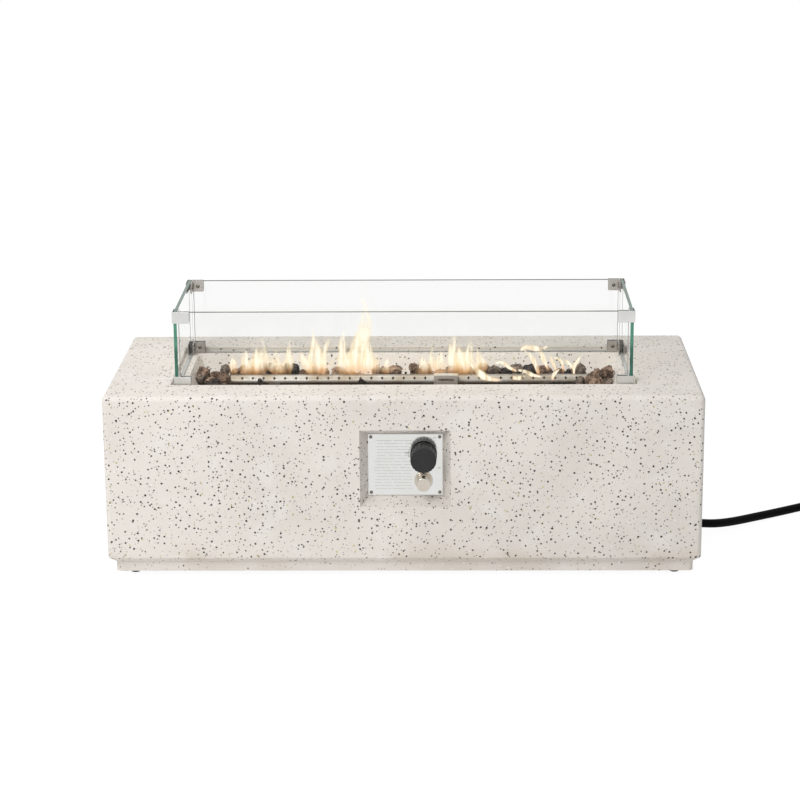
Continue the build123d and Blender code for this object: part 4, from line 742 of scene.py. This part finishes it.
# Camera, light and floor
def add_camera():
    pitch = math.radians(CAMERA_PITCH_DEG)
    yaw = math.radians(CAMERA_YAW_DEG)
    roll = math.radians(CAMERA_ROLL_DEG)
    ahead = Vector((math.sin(yaw) * math.cos(pitch), math.cos(yaw) * math.cos(pitch), -math.sin(pitch)))
    right = Vector((math.cos(yaw), -math.sin(yaw), 0.0))
    down = ahead.cross(right)
    right_rolled = math.cos(roll) * right + math.sin(roll) * down
    down_rolled = math.cos(roll) * down - math.sin(roll) * right
    turn = Matrix((right_rolled, -down_rolled, -ahead)).transposed().to_4x4()
    data = bpy.data.cameras.new("camera")
    data.lens = LENS_MM
    data.sensor_width = SENSOR_MM
    camera = bpy.data.objects.new("camera", data)
    camera.matrix_world = Matrix.Translation(CAMERA_AT) @ turn
    bpy.context.scene.collection.objects.link(camera)
    bpy.context.scene.camera = camera


def add_lamp(name, at, aim, width, height, watts, tint):
    data = bpy.data.lights.new(name, "AREA")
    data.shape = "RECTANGLE"
    data.size = width
    data.size_y = height
    data.energy = watts
    data.color = tint
    lamp = bpy.data.objects.new(name, data)
    lamp.location = at
    lamp.rotation_euler = (Vector(aim) - Vector(at)).to_track_quat("-Z", "Y").to_euler()
    bpy.context.scene.collection.objects.link(lamp)


def add_world():
    """Even white surroundings: dimmer as light than as background."""
    world = bpy.data.worlds.new("studio")
    world.use_nodes = True
    bpy.context.scene.world = world
    nodes = world.node_tree.nodes
    links = world.node_tree.links
    rays = nodes.new("ShaderNodeLightPath")
    seen = nodes.new("ShaderNodeMath")
    seen.operation = "MAXIMUM"
    links.new(rays.outputs["Is Camera Ray"], seen.inputs[0])
    links.new(rays.outputs["Is Transmission Ray"], seen.inputs[1])
    shown = nodes.new("ShaderNodeMath")
    shown.operation = "MAXIMUM"
    links.new(seen.outputs[0], shown.inputs[0])
    links.new(rays.outputs["Is Glossy Ray"], shown.inputs[1])
    strength = nodes.new("ShaderNodeMapRange")
    links.new(shown.outputs[0], strength.inputs["Value"])
    strength.inputs["To Min"].default_value = WORLD_LIGHT
    strength.inputs["To Max"].default_value = WORLD_SEEN
    background = nodes["Background"]
    background.inputs["Color"].default_value = (1.0, 1.0, 1.0, 1.0)
    links.new(strength.outputs["Result"], background.inputs["Strength"])


def add_floor():
    bm = bmesh.new()
    bmesh.ops.create_grid(bm, x_segments=1, y_segments=1, size=FLOOR_HALF)
    floor = bpy.data.objects.new("floor", mesh_from(bm, "floor"))
    floor.location.z = FLOOR_Z
    floor.data.materials.append(white_floor())
    bpy.context.scene.collection.objects.link(floor)


# Gas hose
def hose_points():
    """The hose's route, its coil's turns and its straight end, in millimetres."""
    points = list(HOSE_ROUTE)
    travel = 0.0
    while travel < COIL_TRAVEL_DEG:
        angle = math.radians(COIL_ENTRY_DEG - travel)
        r = coil_level(travel, COIL_RADII)
        z = coil_level(travel, COIL_HEIGHTS)
        points.append((COIL_AT[0] + r * math.cos(angle), COIL_AT[1] + r * math.sin(angle), z))
        travel += COIL_STEP_DEG
    tail_x = COIL_AT[0] + COIL_OUTER_R
    for y in (COIL_AT[1], COIL_AT[1] - 3 * HOSE_R, TAIL_END_Y):
        points.append((tail_x, y, COIL_HIGH_Z))
    return points


def coil_level(travel, marks):
    """A value along the coil's turns, changing smoothly between its marks."""
    if travel <= marks[0][0]:
        return marks[0][1]
    for (start, first), (end, second) in zip(marks, marks[1:]):
        if travel <= end:
            share = (travel - start) / (end - start)
            return first + (second - first) * share * share * (3.0 - 2.0 * share)
    return marks[-1][1]


def add_hose():
    data = bpy.data.curves.new("gas_hose", "CURVE")
    data.dimensions = "3D"
    data.bevel_depth = HOSE_R * MM
    data.bevel_resolution = 6
    data.resolution_u = 8
    data.use_fill_caps = True
    route = hose_points()
    spline = data.splines.new("NURBS")
    spline.points.add(len(route) - 1)
    for point, at in zip(spline.points, route):
        point.co = (*metres(at), 1.0)
    spline.order_u = 3
    spline.use_endpoint_u = True
    data.materials.append(materials["hose_rubber"])
    hose = bpy.data.objects.new("gas_hose", data)
    bpy.context.scene.collection.objects.link(hose)
    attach(hose, BODY)
    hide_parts("outer_hose", "hose_coil", "hose_tail")
    on_hose = ["hose_tie", "hose_ferrule", "regulator_body", "regulator_cover"]
    on_hose += ["regulator_nipple", "coupling_nut"]


# Glass guard
def add_pane(node):
    """One bevelled pane: a side pane is green at its front end and along its top, others are grey."""
    low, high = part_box(node)
    size = high - low
    thin = min(range(3), key=lambda axis: size[axis])
    bm = bmesh.new()
    bmesh.ops.create_cube(bm, size=1.0)
    for vert in bm.verts:
        vert.co = Vector((low[i] + high[i]) / 2 + vert.co[i] * size[i] for i in range(3))
    bmesh.ops.bevel(bm, geom=bm.edges, offset=GLASS_BEVEL, segments=1, profile=0.5, affect="EDGES")
    bmesh.ops.recalc_face_normals(bm, faces=bm.faces)
    for face in bm.faces:
        if abs(face.normal[thin]) > 0.99 or (thin == 0 and face.normal.y > 0.99):
            face.material_index = 0
        elif face.normal.z > 0.5:
            face.material_index = 1
        else:
            at_front = face.normal.z > -0.5 and face.normal.y < 0.5
            face.material_index = 2 if thin == 1 or at_front else 3
    long_face = back_face if low.y > 0.0 else materials["clear_glass"]
    mats = [side_face, *side_edges] if thin == 0 else [long_face, *long_edges]
    pane = piece(node + "_pane", mesh_from(bm, node), GUARD, mats)
    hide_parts(node)


# Springs
def add_spring(node):
    """A copy of a CAD spring with a mesh of its own, in the CAD node's place."""
    mesh = frame["nodes"][node].data.copy()
    mesh.materials.clear()
    slot = slot_of[node]
    spring = piece(node + "_coil", mesh, BODY, [materials[slot]])
    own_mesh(spring)
    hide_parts(node)


# Lava rocks
def add_rock(bm, centre, half, rng, detail, mat_index):
    """One lumpy rock of roughly those half sizes."""
    seed = Vector((rng.uniform(-50, 50), rng.uniform(-50, 50), rng.uniform(-50, 50)))
    turn = Matrix.Rotation(rng.uniform(0.0, 2.0 * math.pi), 3, "Z")
    made = bmesh.ops.create_icosphere(bm, subdivisions=detail, radius=1.0)
    flats = []
    for _ in range(ROCK_FLATS):
        way = Vector((rng.uniform(-1, 1), rng.uniform(-1, 1), rng.uniform(-0.4, 1))).normalized()
        flats.append((way, rng.uniform(ROCK_FLAT_FROM, ROCK_FLAT_TO)))
    for vert in made["verts"]:
        way = vert.co.normalized()
        lumps = sum(size * noise.noise(way * fine + seed) for size, fine in ROCK_LUMPS)
        point = way * (ROCK_BASE + lumps)
        for facing, limit in flats:
            over = point.dot(facing) - limit
            if over > 0:
                point -= facing * over * ROCK_FLAT_CUT
        point = turn @ point
        vert.co = centre + Vector(point[i] * half[i] for i in range(3))
    for face in {face for vert in made["verts"] for face in vert.link_faces}:
        face.material_index = mat_index


def pick_tone(rng):
    """Mostly brown rocks, some grey-brown and a few burnt black ones."""
    chance = rng.random()
    if chance < BROWN_UP_TO:
        return 0
    return 1 if chance < GREY_UP_TO else 2


def add_rocks():
    """The rocks on the bed: those seen from the front where they lie, the others as in the solids."""
    rng = random.Random(ROCK_SEED)
    bm = bmesh.new()
    for low, high in islands("lava_rocks"):
        middle = (low + high) / 2
        half = (high - low) * ROCK_SWELL
        tone = pick_tone(rng)
        at_end = abs(middle.x) > END_ROCK_X * MM
        if at_end and abs(middle.y) < END_ROCK_Y * MM:
            continue
        if not at_end and 0.0 < middle.y < BACK_ROW_Y * MM:
            continue
        if middle.y > LOW_ROCK_FROM_Y * MM:
            half.z *= LOW_ROCK_SHARE
            middle.z = low.z + half.z
        shift = Vector((rng.uniform(-0.005, 0.005), rng.uniform(-0.004, 0.004), 0.0))
        add_rock(bm, middle + shift, half, rng, 4, tone)
    for left, right, top, tone in BACK_ROCKS:
        x = (left + right) / 2
        y = BACK_ROCK_Y + rng.uniform(-2.0, 5.0)
        half = Vector(((right - left) * 0.64, rng.uniform(10.0, 13.0), rng.uniform(9.0, 11.0)))
        add_rock(bm, metres((x, y, top - 0.9 * half.z)), half * MM, rng, 4, tone)
        foot_top = top - half.z
        below = Vector((rng.uniform(10.0, 13.0), rng.uniform(10.0, 13.0), (foot_top - BED_TOP) / 2))
        shift = rng.uniform(-5.0, 5.0)
        add_rock(bm, metres((x + shift, y, (foot_top + BED_TOP) / 2)), below * MM, rng, 3, pick_tone(rng))
    for x, y, half_x, foot, top, tone in END_ROCKS:
        half = Vector((half_x, half_x * rng.uniform(0.8, 1.0), (top - foot) / 2))
        add_rock(bm, metres((x, y, (top + foot) / 2)), half * MM, rng, 4, tone)
    mesh = mesh_from(bm, "lava_rock_pile", SMOOTH_ALL_DEG)
    rocks = piece("lava_rock_pile", mesh, BODY, rock_mats)
    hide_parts("lava_rocks")


def add_bed():
    """The lower layer: small rocks packed over the bed, clear of the burner and the shield."""
    rng = random.Random(ROCK_SEED + 1)
    low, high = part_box("rock_bed")
    burner_low, burner_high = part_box("burner_tube")
    shield_low, shield_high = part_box("flame_shield")
    keep = SMALL_ROCK_R + SMALL_ROCK_GAP
    bm = bmesh.new()
    for i in range(int((high.x - low.x) / SMALL_ROCK_PITCH)):
        for j in range(int((high.y - low.y) / SMALL_ROCK_PITCH)):
            x = low.x + (i + 0.5 + rng.uniform(-SMALL_ROCK_SHIFT, SMALL_ROCK_SHIFT)) * SMALL_ROCK_PITCH
            y = low.y + (j + 0.5 + rng.uniform(-SMALL_ROCK_SHIFT, SMALL_ROCK_SHIFT)) * SMALL_ROCK_PITCH
            on_burner = burner_low.x - keep < x < burner_high.x + keep and abs(y) < burner_high.y + keep
            on_shield = shield_low.x - keep < x < shield_high.x + keep and shield_low.y - keep < y < 0.0
            if on_burner or on_shield:
                continue
            r = SMALL_ROCK_R * rng.uniform(0.75, 1.05)
            z = high.z - 0.2 * r
            if FRONT_ROW_FROM < y < 0.0:
                z += FRONT_ROW_RISE * rng.uniform(0.4, 1.0)
            add_rock(bm, Vector((x, y, z)), Vector((r, r, 0.8 * r)), rng, 2, pick_tone(rng))
    piece("lava_rock_layer", mesh_from(bm, "lava_rock_layer", SMOOTH_ALL_DEG), BODY, rock_mats)


def add_port_shade():
    """A ring of painted shade round each port of the burner, on the tube's front."""
    low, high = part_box("burner_tube")
    middle = (low + high) / 2 / MM
    tube_r = (high.z - low.z) / 2 / MM
    count = int(((high.x - low.x) / MM - PORT_ENDS) / PORT_PITCH)
    bm = bmesh.new()
    for i in range(count):
        x = middle.x + (i - (count - 1) / 2) * PORT_PITCH
        rings = []
        for r in (PORT_R, PORT_SHADE_R):
            ring = []
            for step in range(RING_STEPS):
                turn = 2.0 * math.pi * step / RING_STEPS
                up = PORT_RISE + r * math.sin(turn)
                y = middle.y - math.sqrt(tube_r ** 2 - up ** 2) - PORT_SHADE_OFF
                ring.append(bm.verts.new(metres((x + r * math.cos(turn), y, middle.z + up))))
            rings.append(ring)
        for step in range(RING_STEPS):
            after = (step + 1) % RING_STEPS
            bm.faces.new((rings[0][step], rings[1][step], rings[1][after], rings[0][after]))
    # Painted shade: dark rings stand in for the shade inside the ports
    port_shade_mat = moulded("port_painted_shade", BURNER_PAINTED_SHADE, 0.9, 1.2, 0.1)
    piece("port_painted_shade", mesh_from(bm, "port_painted_shade"), BODY, [port_shade_mat])


# Flames
def flame_width(share):
    """The share of a tongue's full width at a share of its length."""
    if share < FLAME_BELLY:
        return FLAME_FOOT + (1.0 - FLAME_FOOT) * math.sin(math.pi / 2 * share / FLAME_BELLY)
    return max(FLAME_POINT, 1.0 - ((share - FLAME_BELLY) / (1.0 - FLAME_BELLY)) ** 1.25)


def add_tongue(bm, layer, spine, width, dense, seed, curved=False):
    """One bowed, uneven sheet of flame along a spine that starts at its root."""
    fade = 0.8 if curved else 1.0
    step_ahead = 0.02
    rows = []
    for step in range(FLAME_STEPS + 1):
        share = step / FLAME_STEPS
        uneven = 1.0 + 0.5 * noise.noise(Vector((seed, 3.2 * share, 0.0)))
        taper = math.sin(math.pi * (0.12 + 0.82 * share)) if curved else flame_width(share)
        half = width / 2 * taper * uneven
        rise = spine(min(1.0, share + step_ahead)) - spine(max(0.0, share - step_ahead))
        sideways = rise.cross(Vector((0.0, 1.0, 0.0))).normalized()
        row = []
        for i in range(FLAME_ACROSS + 1):
            side = 2.0 * i / FLAME_ACROSS - 1.0
            bow = Vector((0.0, -FLAME_BOW * half * (1.0 - side * side), 0.0))
            vert = bm.verts.new(spine(share) + sideways * (half * side) + bow)
            vert[layer] = (share * fade, 1.0 - abs(side), dense, float(curved))
            row.append(vert)
        rows.append(row)
    for lower, upper in zip(rows, rows[1:]):
        for i in range(FLAME_ACROSS):
            bm.faces.new((lower[i], lower[i + 1], upper[i + 1], upper[i]))


def upright_spine(x0, x1, z0, z1, back, sway):
    """A flame's middle line: it rises from its root, leans back and sways."""
    def at(share):
        x = x0 + (x1 - x0) * share ** 1.3 + sway * math.sin(math.pi * 2.2 * share)
        y = FLAME_Y + back * share * share
        return metres((x, y, z0 + (z1 - z0) * share))
    return at


def curved_spine(points):
    """A flame's middle line through the listed points."""
    knots = [Vector(point) for point in points]
    ends = [2 * knots[0] - knots[1], *knots, 2 * knots[-1] - knots[-2]]

    def at(share):
        along = min(share, 0.9999) * (len(knots) - 1)
        i = int(along)
        t = along - i
        a, b, c, d = ends[i:i + 4]
        bend = 2 * a - 5 * b + 4 * c - d + t * (3 * (b - c) + d - a)
        return (b + 0.5 * t * (c - a + t * bend)) * MM
    return at


def add_flames():
    """Upright tongues, each with a fainter sheet beside it, and the curved ones."""
    rng = random.Random(ROCK_SEED + 2)
    bm = bmesh.new()
    layer = bm.verts.layers.float_color.new("tongue")
    for x0, x1, z0, z1, width, back in FLAMES:
        rise = z1 - z0
        sway = rng.uniform(-0.3, 0.3) * width
        tip = min(FLAME_TOP_MAX, z1 + 0.1 * rise)
        spine = upright_spine(x0, x1, z0 - 0.1 * rise, tip, back, sway)
        add_tongue(bm, layer, spine, 1.75 * width * MM, rng.uniform(0.85, 1.0), rng.uniform(0.0, 90.0))
        aside = rng.choice((-0.7, 0.7)) * width
        top = z0 + rng.uniform(0.5, 0.8) * min(rise, 70.0)
        spine = upright_spine(x0 + aside, x1 + 0.6 * aside, z0 - 0.1 * rise, top, back + 6.0, -sway)
        add_tongue(bm, layer, spine, 2.0 * width * MM, rng.uniform(0.4, 0.6), rng.uniform(0.0, 90.0))
    for points, width in CURVED_FLAMES:
        add_tongue(bm, layer, curved_spine(points), 1.3 * width * MM, 1.0, rng.uniform(0.0, 90.0), True)
    flames = piece("flames", mesh_from(bm, "flames", SMOOTH_ALL_DEG), BODY, [flame_glow()])
    flames.visible_shadow = False


# Control plate
def add_print():
    """Plain ruled lines on the left of the plate."""
    rng = random.Random(LINE_SEED)
    low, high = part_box("control_plate")
    middle = (low + high) / 2
    bm = bmesh.new()
    top = (LINE_COUNT - 1) * LINE_PITCH / 2
    for row in range(LINE_COUNT):
        z = middle.z + (top - row * LINE_PITCH) * MM
        x = LINE_LEFT + rng.uniform(0.0, 6.0)
        while x < LINE_RIGHT - 8.0:
            end = min(LINE_RIGHT, x + rng.uniform(10.0, 34.0))
            add_stroke(bm, middle.x + x * MM, middle.x + end * MM, low.y, z, LINE_H * MM)
            x = end + rng.uniform(1.5, 4.0)
    ink = moulded("pale_ink", (0.50, 0.50, 0.49), 0.5, 1.1)
    piece("plate_lines", mesh_from(bm, "plate_lines"), BODY, [ink])


def add_stroke(bm, x0, x1, y, z, height):
    """One thin printed bar on the plate's face."""
    made = bmesh.ops.create_cube(bm, size=1.0)
    middle = Vector(((x0 + x1) / 2, y - LINE_INK / 2, z))
    size = (x1 - x0, LINE_INK, height)
    for vert in made["verts"]:
        vert.co = middle + Vector(vert.co[i] * size[i] for i in range(3))


def add_dial():
    """Short ticks round the knob's upper left."""
    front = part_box("control_plate")[0].y / MM - DIAL_OFF
    middle = Vector((DIAL_AT[0], front, DIAL_AT[1]))
    bm = bmesh.new()
    for i in range(DIAL_TICKS):
        turn = math.radians(DIAL_FROM_DEG + (DIAL_TO_DEG - DIAL_FROM_DEG) * i / (DIAL_TICKS - 1))
        out = Vector((math.cos(turn), 0.0, math.sin(turn)))
        aside = Vector((-out.z, 0.0, out.x)) * (DIAL_TICK_W / 2)
        inner = middle + out * DIAL_R
        outer = middle + out * (DIAL_R + DIAL_TICK)
        corners = (inner - aside, outer - aside, outer + aside, inner + aside)
        bm.faces.new([bm.verts.new(metres(corner)) for corner in corners])
    piece("dial_ticks", mesh_from(bm, "dial_ticks"), BODY, [dark_ink])


def add_mark(words, x, z):
    """A generic word of the knob's dial, printed on the plate."""
    data = bpy.data.curves.new("mark_" + words.lower(), "FONT")
    data.body = words
    data.size = MARK_SIZE * MM
    data.align_x = "CENTER"
    data.align_y = "CENTER"
    data.extrude = MARK_INK
    data.materials.append(dark_ink)
    mark = bpy.data.objects.new("mark_" + words.lower(), data)
    mark.location = (x * MM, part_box("control_plate")[0].y - MARK_OFF, z * MM)
    mark.rotation_euler = (math.pi / 2, 0.0, 0.0)
    bpy.context.scene.collection.objects.link(mark)
    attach(mark, BODY)


# Scene
bpy.context.scene.view_settings.view_transform = "Standard"
for name, obj in frame["nodes"].items():
    obj.data.materials.clear()
    obj.data.materials.append(materials[slot_of[name]])
for name, obj in frame["nodes"].items():
    if name.startswith("foot_") and slot_of[name] == "black_plastic":
        obj.data.materials[0] = materials["hose_rubber"]

add_camera()
add_world()
add_floor()
for lamp_values in LAMPS:
    add_lamp(*lamp_values)
add_hose()
for pane_node in ("glass_front", "glass_back", "glass_left", "glass_right"):
    add_pane(pane_node)
for clip_node in ("bottom_clips", "top_clips"):
    dress(clip_node, GUARD, CLIP_ROUND)
dress("control_plate", BODY, PLATE_ROUND)
add_spring("knob_spring")
add_spring("igniter_spring")
add_rocks()
add_bed()
add_port_shade()
add_flames()
add_print()
add_dial()
for mark_values in MARKS:
    add_mark(*mark_values)
